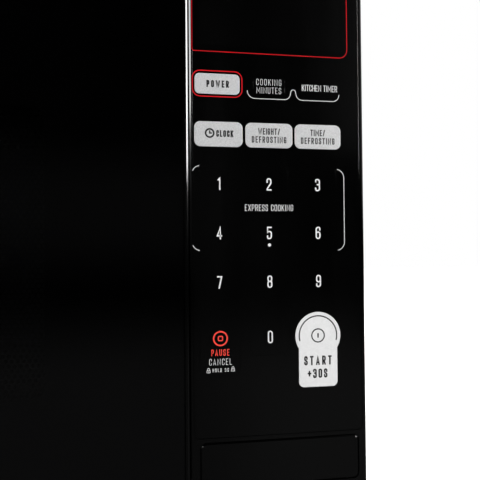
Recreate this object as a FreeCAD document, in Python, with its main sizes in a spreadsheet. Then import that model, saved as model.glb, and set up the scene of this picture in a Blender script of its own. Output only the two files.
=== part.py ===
import FreeCAD, Part
import math
import os
import re

import Sketcher
from FreeCAD import Rotation, Vector

# A countertop microwave oven.  Millimetres, +Z up, X to the right, front face looking along -Y.
# The origin is the middle of the footprint, at the level that the feet stand on.

doc = FreeCAD.newDocument("microwave_oven")

# ------------------------------------------------------------------ driving dimensions
DIMENSIONS = [
    ("width", 485, "overall, X"),
    ("depth", 400, "overall, Y"),
    ("height", 285, "overall, Z"),
    ("sheet", 0.8, "steel sheet of the case"),
    ("wall", 2.5, "moulded plastic wall"),
    ("fit_gap", 0.15, "gap round a moving key or an inlaid sheet"),
    ("running_gap", 0.05, "radial clearance of a shaft in its bearing"),
    ("lift_gap", 0.3, "clearance between pieces that only meet in use"),
    ("foot_height", 10, "rubber foot"),
    ("foot_radius", 10, "rubber foot, at the top"),
    ("foot_x", 200, "feet from the middle, X"),
    ("foot_front", -140, "front feet, Y"),
    ("foot_rear", 150, "rear feet, Y"),
    ("side", 240.5, "half width inside the cover"),
    ("inner_top", 283, "top of the chassis inside the cover"),
    ("plate_front", -166, "front face of the front plate, Y"),
    ("rear_plate", 190.4, "front face of the rear panel, Y"),
    ("cover_lip", 12, "lip of the cover round the rear panel"),
    ("cover_radius", 6, "bend of the cover's top edges"),
    ("fascia_low", 8, "underside of the door and control panel"),
    ("fascia_rear", -169, "rear face of the door frame, Y"),
    ("bevel_width", 0.75, "front edges of the door and control panel, seen from the front"),
    ("bevel_depth", 0.42, "front edges of the door and control panel, front to rear"),
    ("corner_radius", 4, "front corners of the door and control panel"),
    ("cavity_left", -215, "cavity, inside"),
    ("cavity_right", 111, "cavity, inside"),
    ("cavity_low", 32, "cavity floor"),
    ("cavity_high", 240, "cavity roof"),
    ("cavity_rear", 165, "cavity, inside of the back wall"),
    ("cavity_radius", 8, "cavity, long corners"),
    ("vent_radius", 1.5, "lamp and steam holes of the cavity"),
    ("port_front", -10, "waveguide's opening into the cavity, Y"),
    ("port_rear", 50, "waveguide's opening into the cavity, Y"),
    ("port_low", 150, "waveguide's opening into the cavity, Z"),
    ("port_high", 195, "waveguide's opening into the cavity, Z"),
    ("port_cover", 12, "mica sheet beyond the edges of the opening"),
    ("guide_right", 149, "waveguide box, X"),
    ("guide_front", -20, "waveguide box, Y"),
    ("guide_rear", 80, "waveguide box, Y"),
    ("guide_low", 135, "waveguide box, Z"),
    ("guide_high", 235, "waveguide box, Z"),
    ("antenna_y", 30, "magnetron axis, Y"),
    ("antenna_z", 190, "magnetron axis, Z"),
    ("antenna_radius", 7, "magnetron antenna"),
    ("anode_radius", 19, "magnetron anode"),
    ("yoke_length", 56, "magnetron yoke, X"),
    ("yoke_half", 45, "magnetron yoke, half its front to rear"),
    ("yoke_half_high", 40, "magnetron yoke, half its height"),
    ("yoke_sheet", 1.5, "magnetron yoke"),
    ("magnet_radius", 27, "magnetron magnets"),
    ("magnet_thick", 11, "magnetron magnets"),
    ("fin_half", 35, "half width of a cooling fin"),
    ("fin_pitch", 4.5, "cooling fins"),
    ("filter_end", 238, "filter box of the magnetron, X"),
    ("core_left", 135, "transformer core, X"),
    ("core_right", 220, "transformer core, X"),
    ("core_front", -115, "transformer core, Y"),
    ("core_rear", -55, "transformer core, Y"),
    ("core_top", 92.8, "transformer core, Z"),
    ("core_window", 14.5, "windows of the core, X"),
    ("core_limb", 28, "middle limb of the core, X"),
    ("coil_build", 14, "winding round the middle limb"),
    ("can_left", 140, "high-voltage capacitor, X"),
    ("can_right", 194, "high-voltage capacitor, X"),
    ("can_top", 46.8, "high-voltage capacitor, Z"),
    ("can_length", 90, "high-voltage capacitor, Y"),
    ("lamp_x", 126, "oven lamp, X"),
    ("lamp_y", 114, "oven lamp, Y"),
    ("lamp_holder", 236, "underside of the lamp's bracket, Z"),
    ("tray_x", -52, "turntable axis, X"),
    ("tray_level", 46, "underside of the glass tray"),
    ("tray_radius", 135, "glass tray"),
    ("roller_track", 100, "rollers from the turntable axis"),
    ("roller_radius", 6.7, "turntable rollers"),
    ("roller_pin", 2, "axle of a roller, radius"),
    ("shaft_radius", 3.5, "turntable motor shaft"),
    ("motor_radius", 25, "turntable motor"),
    ("motor_low", 15.5, "turntable motor, Z"),
    ("motor_high", 30, "turntable motor, Z"),
    ("coupler_low", 33, "underside of the drive coupler, Z"),
    ("coupler_radius", 9, "hub of the drive coupler"),
    ("coupler_arm", 28, "reach of an arm of the drive coupler"),
    ("door_right", 146.15, "free edge of the door"),
    ("seam", 0.95, "gap between the door and control panel"),
    ("glass_inset", 2, "door edge to the front glass"),
    ("glass_thick", 3.2, "front glass"),
    ("hinge_x", -234.5, "door hinge axis, X"),
    ("hinge_y", -182, "door hinge axis, Y"),
    ("hinge_pin", 2.5, "door hinge pin, radius"),
    ("tongue", 2, "thickness of a hinge bracket"),
    ("tongue_half", 6, "half width of a hinge bracket"),
    ("window_half", 126, "door window, half width"),
    ("window_low", 62, "door window, lower edge"),
    ("window_high", 210, "door window, upper edge"),
    ("hook_left", 124, "latch hooks, X"),
    ("hook_right", 132, "latch hooks, X"),
    ("hook_low", 70, "middle of the lower hook, Z"),
    ("hook_high", 210, "middle of the upper hook, Z"),
    ("hook_bar", -178, "front of the bar that joins the hooks, Y"),
    ("hook_tip", -142, "rear end of the hooks, Y"),
    ("hook_nose", 6, "drop of a hook's nose below its middle"),
    ("latch_left", 118, "latch board, X"),
    ("latch_plate", 142, "left face of the latch board's upright, X"),
    ("latch_right", 145, "latch board, X"),
    ("latch_low", 46, "latch board, Z"),
    ("latch_high", 238, "latch board, Z"),
    ("latch_rear", -120, "latch board, Y"),
    ("lever_y", -160, "pivot of the release lever, Y"),
    ("lever_z", 58, "pivot of the release lever, Z"),
    ("button_left", 152, "release button"),
    ("button_right", 238, "release button"),
    ("button_low", 14, "release button"),
    ("button_high", 37, "release button"),
    ("button_deep", 14, "release button, front to rear"),
    ("pusher_left", 154, "rod behind the release button"),
    ("pusher_right", 162, "rod behind the release button"),
    ("spring_x", 205, "release button spring, X"),
    ("spring_radius", 5, "release button spring"),
    ("overlay_left", 148.4, "keypad overlay"),
    ("overlay_right", 240.6, "keypad overlay"),
    ("overlay_low", 39.5, "keypad overlay"),
    ("overlay_high", 283, "keypad overlay"),
    ("overlay_thick", 1, "keypad overlay"),
    ("overlay_inset", 0.05, "overlay below the tops of the keys"),
    ("overlay_edge", 0.3, "rounding of the overlay's outer edge"),
    ("lens_left", 152, "display window"),
    ("lens_right", 230.5, "display window"),
    ("lens_low", 244.5, "display window"),
    ("lens_high", 278, "display window"),
    ("key_x", 189.4, "middle column of keys, X"),
    ("key_z", 146, "row of the 5 key, Z"),
    ("key_column", 27, "pitch of the columns"),
    ("key_row", 25.8, "pitch of the digit rows"),
    ("key_thick", 0.7, "key cap"),
    ("digit_width", 21, "digit key"),
    ("digit_height", 18.6, "digit key"),
    ("pad_row", 51.85, "row of three pads above the 5 key"),
    ("pad_width", 25.8, "silver pad"),
    ("pad_height", 13.1, "silver pad"),
    ("pad_radius", 3.2, "corner of a silver pad"),
    ("top_row", 78.3, "top row of keys above the 5 key"),
    ("top_height", 10.7, "keys of the top row"),
    ("top_radius", 2.5, "corner of a key of the top row"),
    ("power_width", 24.0, "power key"),
    ("cook_width", 17.4, "cooking time key"),
    ("timer_width", 20.6, "timer key"),
    ("zero_row", -55, "bottom row against the 5 key"),
    ("stop_height", 26.5, "stop key"),
    ("start_radius", 12.6, "round head of the start key"),
    ("start_x", 26.4, "start key from the middle column"),
    ("start_width", 21.5, "tail of the start key"),
    ("start_low", -82.3, "lower end of the start key against the 5 key"),
    ("stem_radius", 2, "stem behind a key"),
    ("stem_end", -194.9, "rear end of the key stems, Y"),
    ("board_front", -190, "front face of the control board, Y"),
    ("board_thick", 1.6, "control board"),
    ("fan_x", 181, "cooling fan axis, X"),
    ("fan_y", 174, "middle of the fan blades, Y"),
    ("fan_z", 150, "cooling fan axis, Z"),
    ("fan_radius", 46, "tips of the fan blades"),
    ("fan_hub", 11, "hub of the fan"),
    ("shroud_front", 160, "front of the fan shroud, Y"),
    ("shroud_plate", 3, "plate of the fan shroud"),
    ("fan_motor_front", 134, "fan motor, Y"),
    ("fan_motor_length", 16, "fan motor, Y"),
    ("fan_shaft", 1.6, "fan motor shaft, radius"),
    ("gland_x", 205, "cord gland, X"),
    ("gland_z", 60, "cord gland, Z"),
    ("gland_bore", 3.75, "cord gland, hole for the cord"),
    ("gland_neck", 7, "cord gland, radius in the rear panel"),
    ("screw_radius", 1.6, "cover screws, shank"),
]

sheet = doc.addObject("Spreadsheet::Sheet", "dims")
for row, (alias, number, note) in enumerate(DIMENSIONS, start=1):
    sheet.set("A%d" % row, alias)
    sheet.set("B%d" % row, str(number))
    sheet.set("C%d" % row, note)
    sheet.setAlias("B%d" % row, alias)
doc.recompute()

ALIASES = {alias for alias, number, note in DIMENSIONS}

# Places that several pieces share, as formulas of the sheet.
FRONT = "-depth / 2"
LEFT = "-width / 2"
RIGHT = "width / 2"
BASE_TOP = "foot_height + sheet"
PLATE_BACK = "plate_front + sheet"
PANEL_LEFT = "door_right + seam"
OVERLAY_FRONT = FRONT + " + overlay_inset"
RECESS_FLOOR = FRONT + " + key_thick + 0.45"
WEB_BACK = FRONT + " + 3.5"
GLASS_BACK = FRONT + " + glass_thick + 0.2"
DOOR_WEB_BACK = GLASS_BACK + " + 3"
PANE_FRONT = "fascia_rear - 2.4"
LID_TOP = "inner_top + 1"


# ------------------------------------------------------------------ helpers
def bound(text):
    """A formula with each dimension's name pointing at its cell."""
    return re.sub(r"[a-z_]+", lambda word: "dims." + word[0] if word[0] in ALIASES else word[0], str(text))


def value(text):
    return float(sheet.evalExpression(bound(text)))


def bind(made, formulas):
    for path, text in formulas.items():
        made.setExpression(path, bound(text))
    return made


def place(made, x="0", y="0", z="0", turn=None):
    if turn:
        made.Placement.Rotation = turn
    return bind(made, {"Placement.Base.x": x, "Placement.Base.y": y, "Placement.Base.z": z})


# Part primitives and booleans
def block(name, x, y, z):
    """A box between two places on each axis."""
    made = doc.addObject("Part::Box", name)
    for length, (low, high) in zip(("Length", "Width", "Height"), (x, y, z)):
        bind(made, {length: "(%s) - (%s)" % (high, low)})
    return place(made, x[0], y[0], z[0])


TURNS = {"x": Rotation(Vector(0, 1, 0), 90), "y": Rotation(Vector(1, 0, 0), -90), "z": Rotation()}


def rod(name, axis, radius, low, high, *others):
    """A cylinder along an axis; others are its places on the other two axes."""
    made = bind(doc.addObject("Part::Cylinder", name),
                {"Radius": radius, "Height": "(%s) - (%s)" % (high, low)})
    where = list(others)
    where.insert("xyz".index(axis), low)
    return place(made, *where, turn=TURNS[axis])


def fuse(name, *shapes):
    made = doc.addObject("Part::MultiFuse", name)
    made.Shapes = list(shapes)
    made.Refine = True
    return made


def cut(name, base, *tools):
    made = doc.addObject("Part::Cut", name)
    made.Base = base
    made.Tool = tools[0] if len(tools) == 1 else fuse(name + "_tools", *tools)
    made.Refine = True
    return made


def group(name, pieces):
    made = doc.addObject("Part::Compound", name)
    made.Links = list(pieces)
    return made


# PartDesign bodies
def new_body(name):
    body = doc.addObject("PartDesign::Body", name)
    doc.recompute()
    return body


def datum(body, role):
    return next(made for made in body.Origin.OriginFeatures if made.Role == role)


def fix_point(made, curve, vertex, across, up):
    """Hold one point of a sketch at two formulas."""
    for kind, text in (("DistanceX", across), ("DistanceY", up)):
        index = made.addConstraint(Sketcher.Constraint(kind, -1, 1, curve, vertex, value(text)))
        made.setExpression("Constraints[%d]" % index, bound(text))


def polygon(*points):
    """A closed outline of straight lines through the points."""
    def draw(made):
        first = made.GeometryCount
        count = len(points)
        places = [Vector(value(across), value(up), 0) for across, up in points]
        for index, start in enumerate(places):
            made.addGeometry(Part.LineSegment(start, places[(index + 1) % count]), False)
        for index, (across, up) in enumerate(points):
            following = first + (index + 1) % count
            made.addConstraint(Sketcher.Constraint("Coincident", first + index, 2, following, 1))
            fix_point(made, first + index, 1, across, up)
    return draw


def rect(left, right, low, high):
    return polygon((left, low), (right, low), (right, high), (left, high))


def disc(across, up, radius):
    def draw(made):
        centre = Vector(value(across), value(up), 0)
        curve = made.addGeometry(Part.Circle(centre, Vector(0, 0, 1), value(radius)), False)
        fix_point(made, curve, 3, across, up)
        index = made.addConstraint(Sketcher.Constraint("Radius", curve, value(radius)))
        made.setExpression("Constraints[%d]" % index, bound(radius))
    return draw


def rounded(left, right, low, high, radius):
    """A rectangle with four round corners."""
    def draw(made):
        x0, x1, z0, z1, bend = (value(text) for text in (left, right, low, high, radius))
        first = made.GeometryCount
        sides = [
            (x0 + bend, z0, x1 - bend, z0),
            (x1, z0 + bend, x1, z1 - bend),
            (x1 - bend, z1, x0 + bend, z1),
            (x0, z1 - bend, x0, z0 + bend),
        ]
        corners = [(x1 - bend, z0 + bend), (x1 - bend, z1 - bend), (x0 + bend, z1 - bend),
                   (x0 + bend, z0 + bend)]
        for ax, az, bx, bz in sides:
            made.addGeometry(Part.LineSegment(Vector(ax, az, 0), Vector(bx, bz, 0)), False)
        for index, (cx, cz) in enumerate(corners):
            circle = Part.Circle(Vector(cx, cz, 0), Vector(0, 0, 1), bend)
            start = (index - 1) * math.pi / 2
            made.addGeometry(Part.ArcOfCircle(circle, start, start + math.pi / 2), False)
        for index in range(4):
            line, arc, following = first + index, first + 4 + index, first + (index + 1) % 4
            made.addConstraint(Sketcher.Constraint("Tangent", line, 2, arc, 1))
            made.addConstraint(Sketcher.Constraint("Tangent", arc, 2, following, 1))
            made.addConstraint(Sketcher.Constraint("Vertical" if index % 2 else "Horizontal", line))
            if index:
                made.addConstraint(Sketcher.Constraint("Equal", first + 4, arc))
        index = made.addConstraint(Sketcher.Constraint("Radius", first + 4, bend))
        made.setExpression("Constraints[%d]" % index, bound(radius))
        for kind, curve, text in (("DistanceY", 0, low), ("DistanceX", 1, right),
                                  ("DistanceY", 2, high), ("DistanceX", 3, left)):
            index = made.addConstraint(Sketcher.Constraint(kind, -1, 1, first + curve, 1, value(text)))
            made.setExpression("Constraints[%d]" % index, bound(text))
    return draw


def sketch(body, plane, level, outlines):
    made = body.newObject("Sketcher::SketchObject", body.Name + "_sketch")
    made.AttachmentSupport = [(datum(body, plane + "_Plane"), "")]
    made.MapMode = "FlatFace"
    offset = "-(%s)" % level if plane == "XZ" else level
    made.setExpression(".AttachmentOffset.Base.z", bound(offset))
    for draw in outlines:
        draw(made)
    return made


def extrude(body, kind, plane, low, high, outlines):
    before = body.Shape.Volume if body.Tip else 0
    made = body.newObject("PartDesign::" + kind, body.Name + "_" + kind.lower())
    made.Profile = sketch(body, plane, low, outlines)
    bind(made, {"Length": "(%s) - (%s)" % (high, low)})
    made.Reversed = (plane == "XZ") == (kind == "Pad")
    doc.recompute()
    change = body.Shape.Volume - before
    if (change > 0) != (kind == "Pad"):
        raise RuntimeError("%s changes nothing" % made.Name)
    return made


def pad(body, plane, low, high, *outlines):
    """Material between two places on the axis that the plane faces."""
    return extrude(body, "Pad", plane, low, high, outlines)


def pocket(body, plane, low, high, *outlines):
    """A hole between two places on the axis that the plane faces."""
    return extrude(body, "Pocket", plane, low, high, outlines)


def turned(body, outline):
    """A solid of revolution about Z from an outline in X and Z."""
    made = body.newObject("PartDesign::Revolution", body.Name + "_turned")
    made.Profile = sketch(body, "XZ", "0", [outline])
    made.ReferenceAxis = (made.Profile[0], ["V_Axis"])
    made.Angle = 360
    doc.recompute()
    return made


def dress(body, kind, size, chosen):
    """A fillet or chamfer on the edges that a test chooses."""
    base = body.Tip
    names = ["Edge%d" % count for count, edge in enumerate(base.Shape.Edges, start=1) if chosen(edge)]
    made = body.newObject("PartDesign::" + kind, body.Name + "_" + kind.lower())
    made.Base = (base, names)
    bind(made, {"Radius" if kind == "Fillet" else "Size": size})
    doc.recompute()
    return made


def straight(edge, axis, **near):
    """True for an edge along an axis that lies at the given places."""
    box = edge.BoundBox
    spans = {"x": (box.XMin, box.XMax), "y": (box.YMin, box.YMax), "z": (box.ZMin, box.ZMax)}
    across = all(abs(spans[other][1] - spans[other][0]) < 0.01 for other in "xyz" if other != axis)
    return across and all(abs(spans[other][0] - value(text)) < 0.02 for other, text in near.items())


def on_front(edge, level=FRONT):
    return abs(edge.BoundBox.YMin - value(level)) < 0.01 and abs(edge.BoundBox.YMax - value(level)) < 0.01


def bevel(body, square_side):
    """The shallow flat edge round a front: bevel_width across the face, bevel_depth down the sides.
    The edge at the square side comes last, so that all of them start from the same face."""
    def at_square_side(edge):
        return on_front(edge) and straight(edge, "z", x=square_side)

    def elsewhere(edge):
        return on_front(edge) and not at_square_side(edge)

    for chosen in (elsewhere, at_square_side):
        made = dress(body, "Chamfer", "bevel_depth", chosen)
        made.ChamferType = "Two distances"
        bind(made, {"Size2": "bevel_width"})
        doc.recompute()


def grid(body, feature, *runs):
    """Repeat a feature along one or two axes: (axis, overall length, count)."""
    made = body.newObject("PartDesign::LinearPattern", feature.Name + "_grid")
    made.Originals = [feature]
    for suffix, (axis, length, count) in zip(("", "2"), runs):
        setattr(made, "Direction" + suffix, (datum(body, axis + "_Axis"), [""]))
        setattr(made, "Occurrences" + suffix, count)
        bind(made, {"Length" + suffix: length})
    body.Tip = made
    doc.recompute()
    return made


def ring_of(body, features, axis, count):
    """Repeat features evenly round an axis."""
    made = body.newObject("PartDesign::PolarPattern", body.Name + "_ring")
    made.Originals = features
    made.Axis = (datum(body, axis + "_Axis"), [""])
    made.Angle = 360
    made.Occurrences = count
    body.Tip = made
    doc.recompute()
    return made


NODES = {}


def keep(made, node):
    made.Label = node
    NODES[node] = made
    return made


# ------------------------------------------------------------------ case and chassis
def make_base_plate():
    body = new_body("base_plate_body")
    pad(body, "XY", "foot_height", BASE_TOP, rect("-side", "side", PLATE_BACK, "rear_plate"))
    slot = pocket(body, "XY", "foot_height - 1", BASE_TOP + " + 1", rect("120", "150", "40", "44"))
    grid(body, slot, ("X", "76", 3), ("Y", "72", 7))
    keep(body, "base_plate")


def make_feet():
    feet = []
    for x in ("-foot_x", "foot_x"):
        for y in ("foot_front", "foot_rear"):
            foot = doc.addObject("Part::Cone", "foot")
            bind(foot, {"Radius1": "foot_radius - 2", "Radius2": "foot_radius", "Height": "foot_height"})
            feet.append(place(foot, x, y))
    keep(group("feet_group", feet), "feet")


def make_front_plate():
    body = new_body("front_plate_body")
    through = ("plate_front - 1", PLATE_BACK + " + 1")
    pad(body, "XZ", "plate_front", PLATE_BACK,
        rounded("-side", "side", BASE_TOP, "inner_top", "cover_radius"))
    pocket(body, "XZ", *through,
           rounded("cavity_left", "cavity_right", "cavity_low", "cavity_high", "cavity_radius"))
    pocket(body, "XZ", *through, rounded("pusher_left - 1", "side - 7", "20", "268", "5"))
    for level in ("hook_low", "hook_high"):
        slot = rect("hook_left - 4", "hook_right + 4.5", level + " - 7.5", level + " + 7.5")
        pocket(body, "XZ", *through, slot)
    keep(body, "front_plate")


SCREW_PLACES = [("-side + 5", "40"), ("side - 5", "40"), ("-side + 5", "250"), ("side - 5", "250"),
                ("0", "278")]


def screw_holes(body, low, high):
    for x, z in SCREW_PLACES:
        pocket(body, "XZ", low, high, disc(x, z, "screw_radius + 0.2"))


def make_rear_panel():
    body = new_body("rear_panel_body")
    back = "rear_plate + sheet"
    pad(body, "XZ", "rear_plate", back, rounded("-side", "side", BASE_TOP, "inner_top", "cover_radius"))
    pocket(body, "XZ", "rear_plate - 1", back + " + 1", disc("gland_x", "gland_z", "gland_neck + 0.2"))
    screw_holes(body, "rear_plate - 1", back + " + 1")
    slot = pocket(body, "XZ", "rear_plate - 1", back + " + 1",
                  rounded("fan_x - 40", "fan_x - 18", "fan_z - 34", "fan_z - 30", "1.9"))
    grid(body, slot, ("X", "58", 3), ("Z", "64", 9))
    slot = pocket(body, "XZ", "rear_plate - 1", back + " + 1", rounded("-190", "-160", "230", "234", "1.9"))
    grid(body, slot, ("X", "200", 6), ("Z", "24", 4))
    keep(body, "rear_panel")


def make_outer_cover():
    body = new_body("outer_cover_body")
    skin, rear, low = "side + 1", "rear_plate + 2 * sheet", "foot_height + 1"
    pad(body, "XZ", "plate_front", rear, rect("-(%s)" % skin, skin, low, LID_TOP))
    dress(body, "Fillet", "cover_radius", lambda edge: straight(edge, "y", z=LID_TOP))
    inner = "side + 1 - sheet"
    pocket(body, "XZ", "plate_front", rear + " - sheet",
           rounded("-(%s)" % inner, inner, low + " - 20", LID_TOP + " - sheet", "cover_radius - sheet"))
    opening = rect("-(%s) + cover_lip" % skin, skin + " - cover_lip", low, LID_TOP + " - cover_lip")
    pocket(body, "XZ", rear + " - sheet - 0.5", rear, opening)
    screw_holes(body, rear + " - sheet - 0.5", rear + " + 1")
    slot = pocket(body, "YZ", "-side - 5", "side + 5", rounded("80", "104", "120", "123", "1.4"))
    grid(body, slot, ("Y", "60", 3), ("Z", "90", 13))
    keep(body, "outer_cover")


def make_screws():
    screws = []
    face = "rear_plate + 2 * sheet"
    for x, z in SCREW_PLACES:
        shank = rod("shank", "y", "screw_radius", "rear_plate - 6", face, x, z)
        head = rod("head", "y", "3.6", face, face + " + 2", x, z)
        bars = [block("cross", (x + " - 2", x + " + 2"), (face + " + 1", face + " + 3"),
                      (z + " - 0.4", z + " + 0.4")),
                block("cross", (x + " - 0.4", x + " + 0.4"), (face + " + 1", face + " + 3"),
                      (z + " - 2", z + " + 2"))]
        screws.append(cut("screw", fuse("screw_blank", shank, head), *bars))
    keep(group("screw_group", screws), "cover_screws")


def make_cord_gland():
    body = new_body("cord_gland_body")
    nose = "rear_plate + sheet"
    pad(body, "XZ", "rear_plate - 4", "rear_plate", disc("gland_x", "gland_z", "gland_neck + 2"))
    pad(body, "XZ", "rear_plate", nose, disc("gland_x", "gland_z", "gland_neck"))
    pad(body, "XZ", nose, nose + " + 3", disc("gland_x", "gland_z", "gland_neck + 3"))
    pad(body, "XZ", nose + " + 3", "depth / 2", disc("gland_x", "gland_z", "gland_neck"))
    pocket(body, "XZ", "rear_plate - 4", "depth / 2", disc("gland_x", "gland_z", "gland_bore"))
    dress(body, "Fillet", "1", lambda edge: abs(edge.BoundBox.YMin - value(nose + " + 3")) < 0.01
          and edge.BoundBox.XLength > value("2 * gland_neck + 1"))
    keep(body, "cord_gland")


# ------------------------------------------------------------------ cooking side
def make_oven_cavity():
    body = new_body("oven_cavity_body")
    skin = rounded("cavity_left - sheet", "cavity_right + sheet", "cavity_low - sheet", "cavity_high + sheet",
                   "cavity_radius + sheet")
    room = rounded("cavity_left", "cavity_right", "cavity_low", "cavity_high", "cavity_radius")
    pad(body, "XZ", PLATE_BACK, "cavity_rear + sheet", skin)
    pocket(body, "XZ", PLATE_BACK, "cavity_rear", room)
    pocket(body, "XY", "cavity_low - 2", "cavity_low + 1", disc("tray_x", "0", "shaft_radius + 4.5"))
    side_wall = ("cavity_right - 0.5", "cavity_right + sheet + 1")
    pocket(body, "YZ", *side_wall, rect("port_front", "port_rear", "port_low", "port_high"))
    lamp_holes = pocket(body, "YZ", *side_wall, disc("lamp_y - 10", "200", "vent_radius"))
    grid(body, lamp_holes, ("Y", "20", 5), ("Z", "20", 5))
    steam_holes = pocket(body, "YZ", "cavity_left - sheet - 1", "cavity_left + 0.5",
                         disc("70", "190", "vent_radius"))
    grid(body, steam_holes, ("Y", "60", 11), ("Z", "24", 5))
    keep(body, "oven_cavity")


def make_waveguide():
    outer = block("waveguide_outer", ("cavity_right + sheet", "guide_right"), ("guide_front", "guide_rear"),
                  ("guide_low", "guide_high"))
    inner = block("waveguide_inner", ("cavity_right", "guide_right - sheet"),
                  ("guide_front + sheet", "guide_rear - sheet"), ("guide_low + sheet", "guide_high - sheet"))
    antenna_hole = rod("antenna_hole", "x", "antenna_radius + 5", "guide_right - 4", "guide_right + 3",
                       "antenna_y", "antenna_z")
    keep(cut("waveguide_box", outer, inner, antenna_hole), "waveguide")
    body = new_body("waveguide_cover_body")
    pad(body, "YZ", "cavity_right - 0.6", "cavity_right",
        rounded("port_front - port_cover", "port_rear + port_cover", "port_low - 10", "port_high + 11", "4"))
    keep(body, "waveguide_cover")


def make_magnetron():
    def on_axis(name, radius, low, high):
        return rod(name, "x", radius, low, high, "antenna_y", "antenna_z")

    def round_axis(name, x, half_deep, half_high):
        return block(name, x, ("antenna_y - (%s)" % half_deep, "antenna_y + (%s)" % half_deep),
                     ("antenna_z - (%s)" % half_high, "antenna_z + (%s)" % half_high))

    left, right = "guide_right", "guide_right + yoke_length"
    inner = (left + " + yoke_sheet", right + " - yoke_sheet")
    keep(cut("yoke", round_axis("yoke_outer", (left, right), "yoke_half", "yoke_half_high"),
             round_axis("yoke_inner", inner, "yoke_half + 1", "yoke_half_high - yoke_sheet"),
             on_axis("yoke_left_hole", "anode_radius - 3", left + " - 1", left + " + 3"),
             on_axis("yoke_right_hole", "anode_radius + 1", right + " - 3",
                     right + " + 1")), "magnetron_yoke")
    inside = (left + " + yoke_length / 2 - 25", left + " + yoke_length / 2 + 26")
    pieces = [
        on_axis("anode", "anode_radius", *inside),
        on_axis("antenna", "antenna_radius", "cavity_right + 15", inside[0]),
        on_axis("magnet", "magnet_radius", inside[0], inside[0] + " + magnet_thick"),
        on_axis("magnet", "magnet_radius", inside[1] + " - magnet_thick", inside[1]),
        on_axis("filter_neck", "anode_radius - 5", inside[1], right + " + 3"),
        round_axis("filter_box", (right + " + 3", "filter_end"), "30", "31"),
    ]
    for fin in range(6):
        low = "%s + magnet_thick + 2.5 + %d * fin_pitch" % (inside[0], fin)
        pieces.append(round_axis("fin", (low, low + " + sheet"), "fin_half", "fin_half"))
    keep(fuse("magnetron", *pieces), "magnetron_core")


def make_transformer():
    low = BASE_TOP + " + 2"
    core = block("core", ("core_left", "core_right"), ("core_front", "core_rear"), (low, "core_top"))
    limb = ("(core_left + core_right - core_limb) / 2", "(core_left + core_right + core_limb) / 2")
    window_places = ((limb[0] + " - core_window", limb[0]), (limb[1], limb[1] + " + core_window"))
    windows = [block("core_hole", x, ("core_front - 1", "core_rear + 1"),
                     (low + " + core_window", "core_top - 14"))
               for x in window_places]
    foot = block("core_foot", ("core_left - 7", "core_right + 7"), ("core_front + 3", "core_rear - 3"),
                 (BASE_TOP, low))
    keep(fuse("transformer", cut("core_with_windows", core, *windows), foot), "transformer_core")
    coils = []
    for coil_low, coil_high in (("28", "50"), ("54", "78")):
        outer = block("coil_outer", (limb[0] + " - coil_build", limb[1] + " + coil_build"),
                      ("core_front - coil_build", "core_rear + coil_build"), (coil_low, coil_high))
        inner = block("coil_inner", limb, ("core_front", "core_rear"),
                      (coil_low + " - 1", coil_high + " + 1"))
        coil = doc.addObject("Part::Fillet", "coil")
        coil.Base = cut("coil_blank", outer, inner)
        doc.recompute()
        coil.Edges = [(count, 5, 5) for count, edge in enumerate(coil.Base.Shape.Edges, start=1)
                      if straight(edge, "z", y="core_front - coil_build")
                      or straight(edge, "z", y="core_rear + coil_build")]
        coils.append(coil)
    keep(group("coil_group", coils), "transformer_coils")


def make_capacitor():
    body = new_body("hv_capacitor_body")
    pad(body, "XZ", "0", "can_length", rounded("can_left", "can_right", BASE_TOP, "can_top", "17"))
    for x in ("can_left + 12", "can_right - 18"):
        pad(body, "XZ", "-9", "0", rect(x, x + " + 6", "28", "29"))
    dress(body, "Fillet", "2", lambda edge: edge.BoundBox.YMin > value("can_length") - 0.01)
    keep(body, "hv_capacitor")


def make_fan():
    shroud = new_body("fan_shroud_body")
    plate_rear, rim_rear = "shroud_front + shroud_plate", "fan_y + 12"
    pad(shroud, "XZ", "shroud_front", plate_rear,
        rounded("fan_x - 57", "fan_x + 57", "fan_z - 58", "fan_z + 58", "6"))
    pad(shroud, "XZ", plate_rear, rim_rear, disc("fan_x", "fan_z", "fan_radius + 6"))
    pocket(shroud, "XZ", "shroud_front", rim_rear, disc("fan_x", "fan_z", "fan_radius + 3.5"))
    keep(shroud, "fan_shroud")
    stator_rear = "fan_motor_front + fan_motor_length"
    strap_rear = stator_rear + " + 1.5"
    stator = block("stator", ("fan_x - 28", "fan_x + 28"), ("fan_motor_front", stator_rear),
                   ("fan_z - 26", "fan_z + 26"))
    strap = block("strap", ("fan_x - 55", "fan_x + 55"), (stator_rear, strap_rear),
                  ("fan_z - 7", "fan_z + 7"))
    posts = [rod("post", "y", "3", strap_rear, "shroud_front", x, "fan_z")
             for x in ("fan_x - 52", "fan_x + 52")]
    shaft = rod("fan_shaft", "y", "fan_shaft", strap_rear, "fan_y + 4", "fan_x", "fan_z")
    keep(fuse("fan_motor_block", stator, strap, shaft, *posts), "fan_motor")
    body = new_body("fan_blade_body")
    pad(body, "XZ", "-8", "8", disc("0", "0", "fan_hub"))
    blade = body.newObject("PartDesign::AdditiveLoft", "blade")
    sections = []
    for reach, chord, pitch in (("fan_hub - 3", 18, 42), ("fan_radius - 2", 26, 24)):
        lean = math.radians(pitch)
        along = Vector(math.sin(lean), math.cos(lean), 0) * (chord / 2)
        thick = Vector(math.cos(lean), -math.sin(lean), 0) * 0.9
        corners = (-along - thick, along - thick, along + thick, -along + thick)
        outline = polygon(*[("%.4f" % corner.x, "%.4f" % corner.y) for corner in corners])
        sections.append(sketch(body, "YZ", reach, [outline]))
    blade.Profile = sections[0]
    blade.Sections = sections[1:]
    doc.recompute()
    ring_of(body, [blade], "Y", 6)
    pocket(body, "XZ", "-9", "6", disc("0", "0", "fan_shaft + running_gap"))
    keep(place(body, "fan_x", "fan_y", "fan_z"), "fan_blade")


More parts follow.
